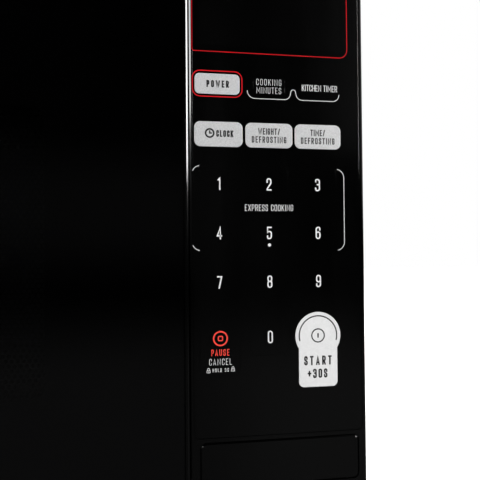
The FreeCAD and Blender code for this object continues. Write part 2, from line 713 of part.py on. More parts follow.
def make_lamp():
    bulb_top = "lamp_holder - 14"
    bracket = block("lamp_bracket", ("cavity_right + sheet", "lamp_x + 14"), ("lamp_y - 14", "lamp_y + 14"),
                    ("lamp_holder", "lamp_holder + 2"))
    socket = rod("lamp_socket", "z", "9", bulb_top, "lamp_holder", "lamp_x", "lamp_y")
    bulb = rod("lamp_bulb", "z", "8", bulb_top + " - 22", bulb_top, "lamp_x", "lamp_y")
    keep(fuse("lamp", bracket, socket, bulb), "oven_lamp")


def make_turntable():
    motor = new_body("turntable_motor_body")
    pad(motor, "XY", "motor_low", "motor_high", disc("0", "0", "motor_radius"))
    pad(motor, "XY", "motor_high - 1", "motor_high", rect("-motor_radius - 8", "motor_radius + 8", "-6", "6"))
    pad(motor, "XY", "motor_high", "coupler_low + 9", disc("0", "0", "shaft_radius"))
    keep(place(motor, "tray_x"), "turntable_motor")

    coupler = new_body("drive_coupler_body")
    pad(coupler, "XY", "coupler_low", "tray_level - 0.4", disc("0", "0", "coupler_radius"))
    arm = pad(coupler, "XY", "tray_level - 4", "tray_level - 0.4", rect("-coupler_arm", "0", "-4", "4"))
    ring_of(coupler, [arm], "Z", 3)
    pocket(coupler, "XY", "coupler_low", "coupler_low + 10", disc("0", "0", "shaft_radius + running_gap"))
    keep(place(coupler, "tray_x"), "drive_coupler")

    ring = new_body("roller_ring_body")
    turned(ring, rect("roller_track - 16", "roller_track - 10", "-2", "2"))
    pin = pad(ring, "YZ", "roller_track - 11", "roller_track + 4", disc("0", "0", "roller_pin"))
    head = pad(ring, "YZ", "roller_track + 3.3", "roller_track + 5", disc("0", "0", "roller_pin + 1.2"))
    ring_of(ring, [pin, head], "Z", 3)
    axle_level = "tray_level - roller_radius - lift_gap"
    keep(place(ring, "tray_x", z=axle_level), "roller_ring")
    for count in range(3):
        roller = new_body("roller_body")
        pad(roller, "YZ", "roller_track - 3", "roller_track + 3", disc("0", "0", "roller_radius"))
        pocket(roller, "YZ", "roller_track - 4", "roller_track + 4",
               disc("0", "0", "roller_pin + running_gap"))
        dress(roller, "Fillet", "0.8", lambda edge: edge.BoundBox.ZLength > value("2 * roller_radius") - 0.1
              and edge.BoundBox.XLength < 0.01)
        turn = Rotation(Vector(0, 0, 1), 120 * count)
        keep(place(roller, "tray_x", z=axle_level, turn=turn), "roller_%d" % (count + 1))

    tray = new_body("glass_tray_body")
    turned(tray, polygon(("0", "0"), ("tray_radius - 18", "0"), ("tray_radius - 4", "8"),
                         ("tray_radius", "8"), ("tray_radius", "12"), ("tray_radius - 5.5", "12"),
                         ("tray_radius - 19.5", "4"), ("0", "4")))
    dress(tray, "Fillet", "1.6", lambda edge: edge.BoundBox.XLength > value("2 * tray_radius - 60"))
    lug = pad(tray, "XY", "-3", "0", polygon(("11.5", "-11"), ("18.5", "-17.5"), ("18.5", "17.5"),
                                             ("11.5", "11")))
    ring_of(tray, [lug], "Z", 3)
    keep(place(tray, "tray_x", z="tray_level"), "glass_tray")


# ------------------------------------------------------------------ door
def make_door_frame():
    body = new_body("door_frame_body")
    pad(body, "XZ", FRONT, "fascia_rear", rect(LEFT, "door_right", "fascia_low", "height"))
    dress(body, "Fillet", "corner_radius", lambda edge: straight(edge, "y", x=LEFT))
    bevel(body, "door_right")
    dress(body, "Chamfer", "corner_radius", lambda edge: straight(edge, "z", x=LEFT, y="fascia_rear"))
    pocket(body, "XZ", FRONT, GLASS_BACK,
           rounded(LEFT + " + glass_inset", "door_right - glass_inset", "fascia_low + glass_inset",
                   "height - glass_inset", "corner_radius - 1"))
    pocket(body, "XZ", DOOR_WEB_BACK, "fascia_rear",
           rect("hinge_x - 1.5", "door_right - 3", "fascia_low + 3", "height - 3"))
    pocket(body, "XZ", GLASS_BACK, DOOR_WEB_BACK,
           rounded("tray_x - window_half - 4", "tray_x + window_half + 4", "window_low - 4",
                   "window_high + 4", "8"))
    hinge_ends = (
        (("fascia_low + 3", "fascia_low + 19"), ("fascia_low - 1", "fascia_low + 5"),
         ("fascia_low + 4", "fascia_low + 16")),
        (("height - 19", "height - 3"), ("height - 5", "height + 1"), ("height - 16", "height - 4")))
    for boss, notch, bore in hinge_ends:
        pad(body, "XZ", DOOR_WEB_BACK + " - 0.5", PANE_FRONT + " - 0.1",
            rect("hinge_x - 3", "hinge_x + 11.5", *boss))
        pocket(body, "XZ", "hinge_y - 11", "fascia_rear + 1", rect(LEFT + " - 1", "hinge_x + 9.5", *notch))
        pocket(body, "XY", *bore, disc("hinge_x", "hinge_y", "hinge_pin + running_gap"))
    keep(body, "door_frame")


def make_door_glass():
    body = new_body("door_glass_body")
    inset = "glass_inset + fit_gap"
    pad(body, "XZ", FRONT, FRONT + " + glass_thick",
        rounded("%s + %s" % (LEFT, inset), "door_right - (%s)" % inset, "fascia_low + " + inset,
                "height - (%s)" % inset, "corner_radius - 1.1"))
    dress(body, "Chamfer", "0.4", on_front)
    keep(body, "door_glass")


def make_door_screen():
    body = new_body("door_screen_body")
    left, right, low, high = "cavity_left - 7", "cavity_right + 6", "cavity_low - 12", "cavity_high + 12"
    pad(body, "XZ", "hook_bar", PANE_FRONT, rounded(left, right, low, high, "6"))
    pocket(body, "XZ", "hook_bar + sheet", PANE_FRONT,
           rounded(left + " + sheet", right + " - sheet", low + " + sheet", high + " - sheet", "5.2"))
    keep(body, "door_screen")


def make_choke_cover():
    body = new_body("choke_cover_body")
    pad(body, "XZ", PANE_FRONT, "fascia_rear",
        rect("hinge_x - 1.3", "door_right - 3.2", "fascia_low + 3.2", "height - 3.2"))
    pad(body, "XZ", "fascia_rear", "plate_front - 0.6",
        rounded("cavity_left - 7", "cavity_right + 6", "cavity_low - 12", "cavity_high + 12", "10"))
    dress(body, "Fillet", "1.5", lambda edge: abs(edge.BoundBox.YMin - value("plate_front - 0.6")) < 0.01)
    for guide in ("hook_left - 2.5", "hook_right + 0.6"):
        pad(body, "XZ", "hook_bar", PANE_FRONT, rect(guide, guide + " + 1.9", "100", "180"))
    pocket(body, "XZ", PANE_FRONT, "plate_front",
           rounded("tray_x - window_half - 6", "tray_x + window_half + 6", "window_low - 6",
                   "window_high + 6", "10"))
    for level in ("hook_low", "hook_high"):
        slot = rect("hook_left - 3", "hook_right + 3", level + " - 7.5", level + " + 7.5")
        pocket(body, "XZ", PANE_FRONT, "fascia_rear", slot)
    for notch in (("fascia_low", "fascia_low + 5.2"), ("height - 5.2", "height")):
        pocket(body, "XZ", PANE_FRONT, "fascia_rear", rect(LEFT, "hinge_x + 10", *notch))
    keep(body, "choke_cover")


def make_door_hooks():
    body = new_body("door_hooks_body")
    points = [("hook_bar", "hook_low - 10"), ("hook_bar + 4", "hook_low - 10")]
    for level in ("hook_low", "hook_high"):
        nose = level + " - hook_nose"
        points += [("hook_bar + 4", level + " - 3"), ("hook_tip - 4", level + " - 3"), ("hook_tip - 4", nose),
                   ("hook_tip - 2", nose), ("hook_tip", level + " - 3.5"), ("hook_tip", level + " + 3"),
                   ("hook_bar + 4", level + " + 3")]
    points += [("hook_bar + 4", "hook_high + 10"), ("hook_bar", "hook_high + 10")]
    pad(body, "YZ", "hook_left", "hook_right", polygon(*points))
    keep(body, "door_hooks")


def make_hinge_brackets():
    brackets = []
    flange_front = "plate_front - 1.5"
    left, right = "hinge_x - tongue_half", "hinge_x + tongue_half"
    ends = (
        (("fascia_low + 1.5", "fascia_low + 1.5 + tongue"), ("fascia_low + 1.5", "fascia_low + 14"),
         ("fascia_low + 1.5", "fascia_low + 19")),
        (("height - 1.5 - tongue", "height - 1.5"), ("height - 14", "height - 1.5"),
         ("height - 19", "height - 1.5")))
    for tongue, pin, flange in ends:
        brackets.append(fuse(
            "bracket", block("bracket_tongue", (left, right), ("hinge_y", flange_front), tongue),
            rod("bracket_nose", "z", "tongue_half", *tongue, "hinge_x", "hinge_y"),
            rod("bracket_pin", "z", "hinge_pin", *pin, "hinge_x", "hinge_y"),
            block("bracket_flange", (left, right), (flange_front, "plate_front"), flange)))
    keep(group("bracket_group", brackets), "hinge_brackets")


# ------------------------------------------------------------------ latch and release button
def make_latch_board():
    front = PLATE_BACK
    side_plate = block("latch_side", ("latch_plate", "latch_right"), (front, "latch_rear"),
                       ("latch_low", "latch_high"))
    web = block("latch_web", ("latch_left", "latch_right"), (front, "lever_y + 10"),
                ("latch_low", "latch_low + 3"))
    lug = block("latch_lug", ("latch_left", "latch_left + 2.5"), (front, "lever_y + 8"),
                ("latch_low", "lever_z + 6"))
    shelves = [block("latch_shelf", ("latch_plate - 13.5", "latch_plate"), ("hook_tip - 14", "hook_tip - 8"),
                     (level + " - hook_nose - 5.3", level + " - hook_nose - lift_gap"))
               for level in ("hook_low", "hook_high")]
    bore = rod("latch_bore", "x", "hinge_pin + running_gap", "latch_left - 1", "latch_right + 1",
               "lever_y", "lever_z")
    keep(cut("latch", fuse("latch_blank", side_plate, web, lug, *shelves), bore), "latch_board")
    switches = []
    for low in ("60", "92", "190"):
        case = block("switch_case", ("latch_plate - 10.3", "latch_plate"),
                     ("latch_rear - 18", "latch_rear - 2"),
                     (low, low + " + 27.8"))
        plunger = block("switch_plunger", ("latch_plate - 8", "latch_plate - 3"),
                        ("latch_rear - 20", "latch_rear - 18"), (low + " + 12", low + " + 15"))
        switches.append(fuse("switch", case, plunger))
    keep(group("switch_group", switches), "interlock_switches")


def make_release_lever():
    body = new_body("release_lever_body")
    tip, under_hook = "hook_tip - 1.5", "hook_low - hook_nose - lift_gap"
    pad(body, "YZ", "latch_left + 0.2", "pusher_right", disc("lever_y", "lever_z", "hinge_pin"))
    pad(body, "YZ", "pusher_left + 1", "pusher_right",
        rect("lever_y - 2", "lever_y + 2", "lever_z - 32", "lever_z"))
    pad(body, "YZ", "hook_left - 2.5", "hook_left + 3.5",
        polygon(("lever_y", "lever_z - 2"), (tip, "lever_z + 1.5"), (tip, under_hook),
                ("hook_tip - 5", under_hook),
                ("lever_y", "lever_z + 2")))
    keep(body, "release_lever")


def make_release_button():
    body = new_body("release_button_body")
    back = FRONT + " + button_deep"
    pad(body, "XZ", FRONT, back, rounded("button_left", "button_right", "button_low", "button_high", "3"))
    dress(body, "Fillet", "0.8", on_front)
    lip = WEB_BACK + " + lift_gap"
    pad(body, "XZ", lip, lip + " + 2",
        rounded("button_left - 1.2", "button_right + 1.2", "button_low - 1.6", "button_high + 1.6", "3"))
    pocket(body, "XZ", FRONT + " + 2", back,
           rounded("button_left + 2", "button_right - 2", "button_low + 2", "button_high - 2", "1.5"))
    pad(body, "XZ", FRONT + " + 1.5", "lever_y - 2 - lift_gap",
        rect("pusher_left", "pusher_right", "22", "28"))
    keep(body, "release_button")
    outer = rod("spring_outer", "y", "spring_radius", FRONT + " + 2", PANE_FRONT + " - 0.1",
                "spring_x", "25.5")
    inner = rod("spring_inner", "y", "spring_radius - 1", FRONT + " + 2", PANE_FRONT + " - 0.1",
                "spring_x", "25.5")
    keep(cut("spring", outer, inner), "button_spring")


# ------------------------------------------------------------------ control panel
# Each key: node name, column and row of its middle against the 5 key, and its size and corner.
KEYS = [
    ("key_power", "-27.55", "top_row", "power_width", "top_height", "top_radius"),
    ("key_cook_time", "0.4", "top_row", "cook_width", "top_height", "top_radius"),
    ("key_timer", "28.7", "top_row", "timer_width", "top_height", "top_radius"),
    ("key_clock", "-key_column", "pad_row", "pad_width", "pad_height", "pad_radius"),
    ("key_weight_defrost", "0.3", "pad_row", "pad_width", "pad_height", "pad_radius"),
    ("key_time_defrost", "key_column + 0.4", "pad_row", "pad_width", "pad_height", "pad_radius"),
    ("key_stop", "-key_column", "zero_row - 6.5", "digit_width", "stop_height", "3"),
    ("key_0", "0", "zero_row", "digit_width", "digit_height", "3"),
]
for digit in range(1, 10):
    column, line = (digit - 1) % 3 - 1, 1 - (digit - 1) // 3
    KEYS.append(("key_%d" % digit, "%d * key_column" % column, "%d * key_row" % line,
                 "digit_width", "digit_height", "3"))


def key_outline(column, line, across, tall, corner, grow="0"):
    x, z = "key_x + (%s)" % column, "key_z + (%s)" % line
    return rounded("%s - %s / 2 - %s" % (x, across, grow), "%s + %s / 2 + %s" % (x, across, grow),
                   "%s - %s / 2 - %s" % (z, tall, grow), "%s + %s / 2 + %s" % (z, tall, grow),
                   "%s + %s" % (corner, grow))


def start_outlines(grow="0"):
    """The start key: a round head on a straight tail."""
    x, head = "key_x + start_x", "key_z + zero_row"
    tail = rounded("%s - start_width / 2 - %s" % (x, grow), "%s + start_width / 2 + %s" % (x, grow),
                   "key_z + start_low - " + grow, head, "2.7 + " + grow)
    return [disc(x, head, "start_radius + " + grow), tail]


STEMS = [("key_x + (%s)" % key[1], "key_z + (%s)" % key[2]) for key in KEYS]
STEMS.append(("key_x + start_x", "key_z + zero_row"))


def make_keys():
    back = FRONT + " + key_thick"
    for node, column, line, across, tall, corner in KEYS:
        body = new_body(node + "_body")
        pad(body, "XZ", FRONT, back, key_outline(column, line, across, tall, corner))
        pad(body, "XZ", back, "stem_end",
            disc("key_x + (%s)" % column, "key_z + (%s)" % line, "stem_radius"))
        dress(body, "Fillet", "overlay_inset", on_front)
        keep(body, node)
    body = new_body("key_start_body")
    for outline in start_outlines():
        pad(body, "XZ", FRONT, back, outline)
    pad(body, "XZ", back, "stem_end", disc(*STEMS[-1], "stem_radius"))
    dress(body, "Fillet", "overlay_inset", on_front)
    keep(body, "key_start")


def make_keypad_overlay():
    body = new_body("keypad_overlay_body")
    back = OVERLAY_FRONT + " + overlay_thick"
    pad(body, "XZ", OVERLAY_FRONT, back,
        rounded("overlay_left + fit_gap", "overlay_right - fit_gap", "overlay_low + fit_gap",
                "overlay_high - fit_gap", "corner_radius - 1.1"))
    dress(body, "Fillet", "overlay_edge", lambda edge: on_front(edge, OVERLAY_FRONT))
    through = (OVERLAY_FRONT + " - 1", back + " + 1")
    for node, *shape in KEYS:
        pocket(body, "XZ", *through, key_outline(*shape, grow="fit_gap"))
    for outline in start_outlines("fit_gap"):
        pocket(body, "XZ", *through, outline)
    pocket(body, "XZ", *through, rounded("lens_left", "lens_right", "lens_low", "lens_high", "2"))
    keep(body, "keypad_overlay")
    lens = new_body("display_window_body")
    pad(lens, "XZ", OVERLAY_FRONT, back,
        rounded("lens_left + 0.1", "lens_right - 0.1", "lens_low + 0.1", "lens_high - 0.1", "1.9"))
    keep(lens, "display_window")


def make_control_panel():
    body = new_body("control_panel_body")
    pad(body, "XZ", FRONT, "plate_front", rect(PANEL_LEFT, RIGHT, "fascia_low", "height"))
    dress(body, "Fillet", "corner_radius", lambda edge: straight(edge, "y", x=RIGHT))
    bevel(body, PANEL_LEFT)
    pocket(body, "XZ", FRONT, RECESS_FLOOR,
           rounded("overlay_left", "overlay_right", "overlay_low", "overlay_high", "corner_radius - 1"))
    inside = (PANEL_LEFT + " + wall", RIGHT + " - wall")
    pocket(body, "XZ", WEB_BACK, "plate_front", rect(*inside, "button_high + 5.5", "height - wall"))
    pocket(body, "XZ", WEB_BACK, PANE_FRONT, rect(*inside, "fascia_low + wall", "button_high + 3"))
    pocket(body, "XZ", FRONT, WEB_BACK,
           rounded("button_left - 0.4", "button_right + 0.4", "button_low - 0.4", "button_high + 0.4", "3.4"))
    pocket(body, "XZ", PANE_FRONT, "plate_front", rect("pusher_left - 1", "pusher_right + 1", "20", "30"))
    pocket(body, "XZ", RECESS_FLOOR, WEB_BACK,
           rect("lens_left + 2", "lens_right - 2", "lens_low + 2", "lens_high - 2"))
    pocket(body, "XZ", RECESS_FLOOR, WEB_BACK, *[disc(x, z, "stem_radius + 0.4") for x, z in STEMS])
    for x in (PANEL_LEFT + " + wall + 1.5", RIGHT + " - wall - 5.5"):
        for z in ("50", "233"):
            pad(body, "XZ", WEB_BACK, "board_front", rect(x, x + " + 4", z, z + " + 4"))
    keep(body, "control_panel")


def make_control_board():
    rear = "board_front + board_thick"
    board = block("board", (PANEL_LEFT + " + wall + 1", RIGHT + " - wall - 1"), ("board_front", rear),
                  ("46", "279"))
    pieces = [board]
    for x, z in STEMS:
        pieces.append(block("tact_switch", (x + " - 3", x + " + 3"), ("board_front - 4.3", "board_front"),
                            (z + " - 3", z + " + 3")))
    for x, z, size in (("160", "70", "18"), ("186", "70", "18"), ("160", "120", "26"), ("205", "150", "12")):
        pieces.append(block("component", (x, x + " + " + size), (rear, rear + " + 12"), (z, z + " + 16")))
    keep(fuse("board_with_switches", *pieces), "control_board")
    module = block("display_box", ("lens_left + 3", "lens_right - 3"), ("board_front - 6", "board_front"),
                   ("lens_low + 3", "lens_high - 3"))
    window = block("display_hollow", ("lens_left + 5", "lens_right - 5"),
                   ("board_front - 7", "board_front - 5.4"),
                   ("lens_low + 5", "lens_high - 5"))
    keep(cut("display", module, window), "display_module")


for make in (make_base_plate, make_feet, make_front_plate, make_rear_panel, make_outer_cover, make_screws,
             make_cord_gland, make_oven_cavity, make_waveguide, make_magnetron, make_transformer,
             make_capacitor, make_fan, make_lamp, make_turntable, make_door_frame, make_door_glass,
             make_door_screen, make_choke_cover, make_door_hooks, make_hinge_brackets, make_latch_board,
             make_release_lever, make_release_button, make_keys, make_keypad_overlay, make_control_panel,
             make_control_board):
    make()
doc.recompute()

# ------------------------------------------------------------------ checks, then one file per piece
for made in doc.Objects:
    if {"Invalid", "Error"} & set(made.State):
        raise RuntimeError("%s failed: %s" % (made.Label, made.State))
for node, made in NODES.items():
    if made.Shape.isNull() or not made.Shape.isValid():
        raise RuntimeError("%s has no valid shape" % node)

os.makedirs("parts", exist_ok=True)
for node, made in NODES.items():
    made.Shape.exportStep("parts/%s.step" % node)
    print("%-20s %2d solid(s) %9.0f mm3" % (node, len(made.Shape.Solids), made.Shape.Volume))
print("%d pieces" % len(NODES))
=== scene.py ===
import math

import bmesh
import bpy
from mathutils import Matrix, Vector


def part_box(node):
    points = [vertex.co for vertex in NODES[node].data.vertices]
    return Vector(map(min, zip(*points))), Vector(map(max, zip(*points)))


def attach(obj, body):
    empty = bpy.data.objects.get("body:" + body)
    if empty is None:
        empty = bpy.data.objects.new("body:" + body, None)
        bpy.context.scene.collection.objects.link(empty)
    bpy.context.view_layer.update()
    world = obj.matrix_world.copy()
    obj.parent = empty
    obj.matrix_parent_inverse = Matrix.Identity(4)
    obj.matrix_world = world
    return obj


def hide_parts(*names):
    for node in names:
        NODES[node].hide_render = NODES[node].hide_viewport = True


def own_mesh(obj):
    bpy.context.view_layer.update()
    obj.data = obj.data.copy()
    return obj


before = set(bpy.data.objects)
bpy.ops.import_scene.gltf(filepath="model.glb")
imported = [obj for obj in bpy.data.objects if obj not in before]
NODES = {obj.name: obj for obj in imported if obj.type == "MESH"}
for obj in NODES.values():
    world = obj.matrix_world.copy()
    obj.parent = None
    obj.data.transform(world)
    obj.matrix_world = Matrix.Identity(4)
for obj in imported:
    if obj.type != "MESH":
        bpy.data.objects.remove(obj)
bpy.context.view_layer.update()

MM = 0.001


def middle(node):
    low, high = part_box(node)
    return (low + high) / 2


# Prints are placed from the middle of the 5 key, in millimetres: u to the right, v up.
KEYPAD = middle("key_5")
KEYPAD_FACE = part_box("key_5")[0].y
OVERLAY_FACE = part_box("keypad_overlay")[0].y
INK = 0.02 * MM
INK_STEP, INK_LEVELS = 0.06, 6


# ------------------------------------------------------------------ material nodes
class Surface:
    """A Principled material and the few nodes that its detail is made of."""

    def __init__(self, name, **sockets):
        self.material = bpy.data.materials.new(name)
        self.material.use_nodes = True
        self.tree = self.material.node_tree
        self.shader = self.tree.nodes["Principled BSDF"]
        self.place = self.add("ShaderNodeTexCoord").outputs["Object"]
        for socket, value in sockets.items():
            self.set(socket.replace("_", " "), value)

    def add(self, kind, **values):
        made = self.tree.nodes.new(kind)
        for name, value in values.items():
            setattr(made, name, value)
        return made

    def set(self, socket, value):
        target = self.shader.inputs[socket]
        if isinstance(value, bpy.types.NodeSocket):
            self.tree.links.new(value, target)
        elif isinstance(value, tuple) and len(value) == 3 and target.type == "RGBA":
            target.default_value = (*value, 1)
        else:
            target.default_value = value
        return self

    def link(self, source, target):
        self.tree.links.new(source, target)

    def stretched(self, x, y, z):
        """Object coordinates scaled along each axis, for brushed or layered grain."""
        made = self.add("ShaderNodeMapping")
        made.inputs["Scale"].default_value = (x, y, z)
        self.link(self.place, made.inputs["Vector"])
        return made.outputs["Vector"]

    def noise(self, scale, detail=3, rough=0.55, place=None):
        made = self.add("ShaderNodeTexNoise")
        made.inputs["Scale"].default_value = scale
        made.inputs["Detail"].default_value = detail
        made.inputs["Roughness"].default_value = rough
        self.link(place or self.place, made.inputs["Vector"])
        return made.outputs["Fac"]

    def cells(self, scale, output="Distance", feature="F1", place=None):
        made = self.add("ShaderNodeTexVoronoi", feature=feature)
        made.inputs["Scale"].default_value = scale
        self.link(place or self.place, made.inputs["Vector"])
        return made.outputs[output]

    def bands(self, scale, axis, distort=0.0):
        made = self.add("ShaderNodeTexWave", bands_direction=axis, wave_profile="SAW")
        made.inputs["Scale"].default_value = scale
        made.inputs["Distortion"].default_value = distort
        self.link(self.place, made.inputs["Vector"])
        return made.outputs["Fac"]

    def span(self, source, low, high, start, end):
        """source from low to high becomes start to end, held at the ends."""
        made = self.add("ShaderNodeMapRange")
        for index, value in enumerate((low, high, start, end), start=1):
            made.inputs[index].default_value = value
        self.link(source, made.inputs[0])
        return made.outputs[0]

    def math(self, operation, first, second):
        made = self.add("ShaderNodeMath", operation=operation)
        for index, value in enumerate((first, second)):
            if isinstance(value, bpy.types.NodeSocket):
                self.link(value, made.inputs[index])
            else:
                made.inputs[index].default_value = value
        return made.outputs[0]

    def axis(self, index):
        made = self.add("ShaderNodeSeparateXYZ")
        self.link(self.place, made.inputs[0])
        return made.outputs[index]

    def tint(self, amount, first, second):
        """A colour between two, by amount."""
        made = self.add("ShaderNodeMix", data_type="RGBA")
        self.link(amount, made.inputs[0])
        for index, value in ((6, first), (7, second)):
            if isinstance(value, bpy.types.NodeSocket):
                self.link(value, made.inputs[index])
            else:
                made.inputs[index].default_value = (*value, 1)
        return made.outputs[2]

    def relief(self, height, depth, strength=1.0):
        made = self.add("ShaderNodeBump")
        made.inputs["Strength"].default_value = strength
        made.inputs["Distance"].default_value = depth
        self.link(height, made.inputs["Height"])
        self.set("Normal", made.outputs["Normal"])
        return self


def grey(level):
    return (level, level, level)


def scaled(colour, factor, lift=0):
    return tuple(channel * factor + lift for channel in colour)


# ------------------------------------------------------------------ materials
def gloss_black(name, level=0.0006, haze=0.004, shine=0.05):
    """Polished black plastic or enamelled glass: a faint wiped haze and a few specks of dust."""
    made = Surface(name, IOR=1.5)
    wiped = made.noise(7, 5, 0.6, made.stretched(1.0, 1.0, 0.45))
    streaks = made.noise(60, 3, 0.6, made.stretched(1.0, 1.0, 0.12))
    smear = made.math("MULTIPLY", made.span(wiped, 0.48, 0.72, 0, 1), made.span(streaks, 0.35, 0.7, 0.3, 1))
    made.set("Roughness", made.span(smear, 0, 1, shine, shine + 0.16))
    near = made.span(made.cells(95), 0.02, 0.032, 1, 0)
    chosen = made.add("ShaderNodeSeparateColor")
    made.link(made.cells(95, "Color"), chosen.inputs[0])
    dust = made.math("MULTIPLY", near, made.span(chosen.outputs[0], 0.93, 0.94, 0, 1))
    base = made.tint(smear, grey(level), grey(level + haze * 0.3))
    made.set("Base Color", made.tint(dust, base, grey(0.02)))
    made.relief(made.noise(420, 2), 0.000004)
    return made


def printed(name, colour, grain=0.04, rough=0.35):
    """Screen print under clear film: an even ink with a fine mottle."""
    made = Surface(name, IOR=1.45)
    dark = scaled(scaled(colour, 1 - grain), 1 - 3 * grain)
    mottle = made.noise(2600, 2, 0.7)
    cloud = made.noise(160, 3)
    made.set("Base Color", made.tint(made.math("MULTIPLY", mottle, cloud), colour, dark))
    made.set("Roughness", made.span(cloud, 0.3, 0.7, rough - 0.08, rough + 0.08))
    made.relief(mottle, 0.000006)
    return made


def silver_print(name, colour):
    """Metallic silver ink: small bright flakes in a grey ground."""
    made = Surface(name, Metallic=0.5, IOR=1.5)
    flakes = made.add("ShaderNodeSeparateColor")
    made.link(made.cells(3400, "Color"), flakes.inputs[0])
    spark = made.span(flakes.outputs[0], 0.0, 1.0, 0.0, 1.0)
    high = tuple(min(1, channel * 1.1) for channel in colour)
    made.set("Base Color", made.tint(spark, scaled(colour, 0.86), high))
    made.set("Roughness", made.span(spark, 0, 1, 0.52, 0.42))
    made.relief(spark, 0.000008)
    return made


def moulded(name, colour, rough=0.5, grain=900, depth=0.00002, wear=0.15):
    """Moulded plastic with a fine spark-eroded grain and slight shade changes."""
    made = Surface(name, IOR=1.46)
    shade = made.noise(35, 3)
    pale = scaled(colour, 1 + wear, 0.002)
    made.set("Base Color", made.tint(made.span(shade, 0.35, 0.65, 0, 1), colour, pale))
    fine = made.noise(grain, 3, 0.6)
    made.set("Roughness", made.span(fine, 0.3, 0.7, rough - 0.08, rough + 0.1))
    made.relief(fine, depth)
    return made


def powder_coat(name, colour, rough=0.42):
    """Textured stoved paint on sheet steel, a little brighter where handling rubs its edges."""
    made = Surface(name, IOR=1.5)
    peel = made.noise(1100, 3, 0.55)
    coarse = made.noise(420, 2, 0.5)
    pits = made.cells(1900)
    height = made.math("ADD", made.math("MULTIPLY", peel, 0.6), made.math("MULTIPLY", pits, 0.4))
    cloud = made.noise(9, 4)
    edge = made.add("ShaderNodeNewGeometry").outputs["Pointiness"]
    rubbed = made.math("MULTIPLY", made.span(edge, 0.53, 0.6, 0, 0.5), made.span(coarse, 0.4, 0.6, 0.2, 1))
    base = made.tint(cloud, colour, scaled(colour, 1.35, 0.001))
    made.set("Base Color", made.tint(rubbed, base, scaled(colour, 2.2, 0.02)))
    made.set("Roughness", made.span(coarse, 0.3, 0.7, rough - 0.02, rough + 0.04))
    made.relief(height, 0.00003)
    return made


def enamel(name, colour):
    """Sprayed cavity enamel: smooth grey with a fine dark fleck."""
    made = Surface(name, IOR=1.5)
    flecks = made.span(made.cells(700), 0.12, 0.2, 1, 0)
    few = made.add("ShaderNodeSeparateColor")
    made.link(made.cells(700, "Color"), few.inputs[0])
    amount = made.math("MULTIPLY", flecks, made.span(few.outputs[0], 0.6, 0.62, 0, 0.7))
    cloud = made.noise(12, 4)
    base = made.tint(cloud, colour, scaled(colour, 0.9))
    made.set("Base Color", made.tint(amount, base, scaled(colour, 0.35)))
    made.set("Roughness", made.span(cloud, 0.3, 0.7, 0.3, 0.42))
    made.relief(made.noise(300, 2), 0.00002)
    return made


def sheet_metal(name, colour, rough=0.32, spangle=70, grain=(1, 1, 1)):
    """Plated or rolled metal: soft spangles and rolling grain."""
    made = Surface(name, Metallic=1.0)
    spangles = made.add("ShaderNodeSeparateColor")
    made.link(made.cells(spangle, "Color"), spangles.inputs[0])
    drawn = made.noise(500, 4, 0.6, made.stretched(*grain))
    spangled = made.math("MULTIPLY", spangles.outputs[0], 0.5)
    mixed = made.math("ADD", spangled, made.math("MULTIPLY", drawn, 0.5))
    made.set("Base Color", made.tint(mixed, scaled(colour, 0.82), colour))
    made.set("Roughness", made.span(mixed, 0.2, 0.8, rough - 0.1, rough + 0.14))
    made.relief(drawn, 0.00001)
    return made


def rubber(name, colour=grey(0.018)):
    made = Surface(name, IOR=1.5)
    fine = made.noise(1400, 4, 0.7)
    made.set("Base Color", made.tint(made.noise(40, 4), colour, scaled(colour, 2.4)))
    made.set("Roughness", made.span(fine, 0.3, 0.7, 0.7, 0.92))
    made.relief(fine, 0.00003)
    return made


def clear_glass(name, colour, rough=0.02, ripple=0.000004):
    made = Surface(name, IOR=1.5, Transmission_Weight=1.0)
    film = made.noise(14, 5, 0.6)
    made.set("Base Color", made.tint(made.span(film, 0.4, 0.8, 0, 1), colour, scaled(colour, 0.94)))
    made.set("Roughness", made.span(film, 0.45, 0.75, rough, rough + 0.05))
    made.relief(made.noise(90, 2), ripple)
    return made


def mica(name):
    made = Surface(name, IOR=1.56)
    flakes = made.add("ShaderNodeSeparateColor")
    made.link(made.cells(260, "Color"), flakes.inputs[0])
    cloud = made.math("MULTIPLY", flakes.outputs[0], made.noise(45, 5))
    made.set("Base Color", made.tint(made.span(cloud, 0, 0.6, 0, 1), (0.30, 0.22, 0.13), (0.62, 0.54, 0.40)))
    made.set("Roughness", made.span(flakes.outputs[0], 0, 1, 0.28, 0.6))
    made.relief(cloud, 0.00003)
    return made


def laminated(name, colour, axis, sheets=320):
    """A pack of thin steel sheets, or a winding, in bands along an axis."""
    made = Surface(name, Metallic=0.9)
    bands = made.bands(sheets, axis, 0.6)
    patch = made.noise(60, 4)
    made.set("Base Color", made.tint(made.math("MULTIPLY", bands, patch), scaled(colour, 0.45), colour))
    made.set("Roughness", made.span(patch, 0.3, 0.7, 0.35, 0.6))
    made.relief(bands, 0.00015)
    return made


def circuit_board(name):
    made = Surface(name, IOR=1.5)
    lands = made.span(made.cells(160, feature="DISTANCE_TO_EDGE"), 0.03, 0.06, 1, 0)
    weave = made.noise(900, 2)
    base = made.tint(weave, (0.012, 0.10, 0.04), (0.02, 0.15, 0.06))
    made.set("Base Color", made.tint(lands, base, (0.05, 0.24, 0.10)))
    made.set("Roughness", made.span(weave, 0.3, 0.7, 0.25, 0.4))
    made.relief(lands, 0.00004)
    return made


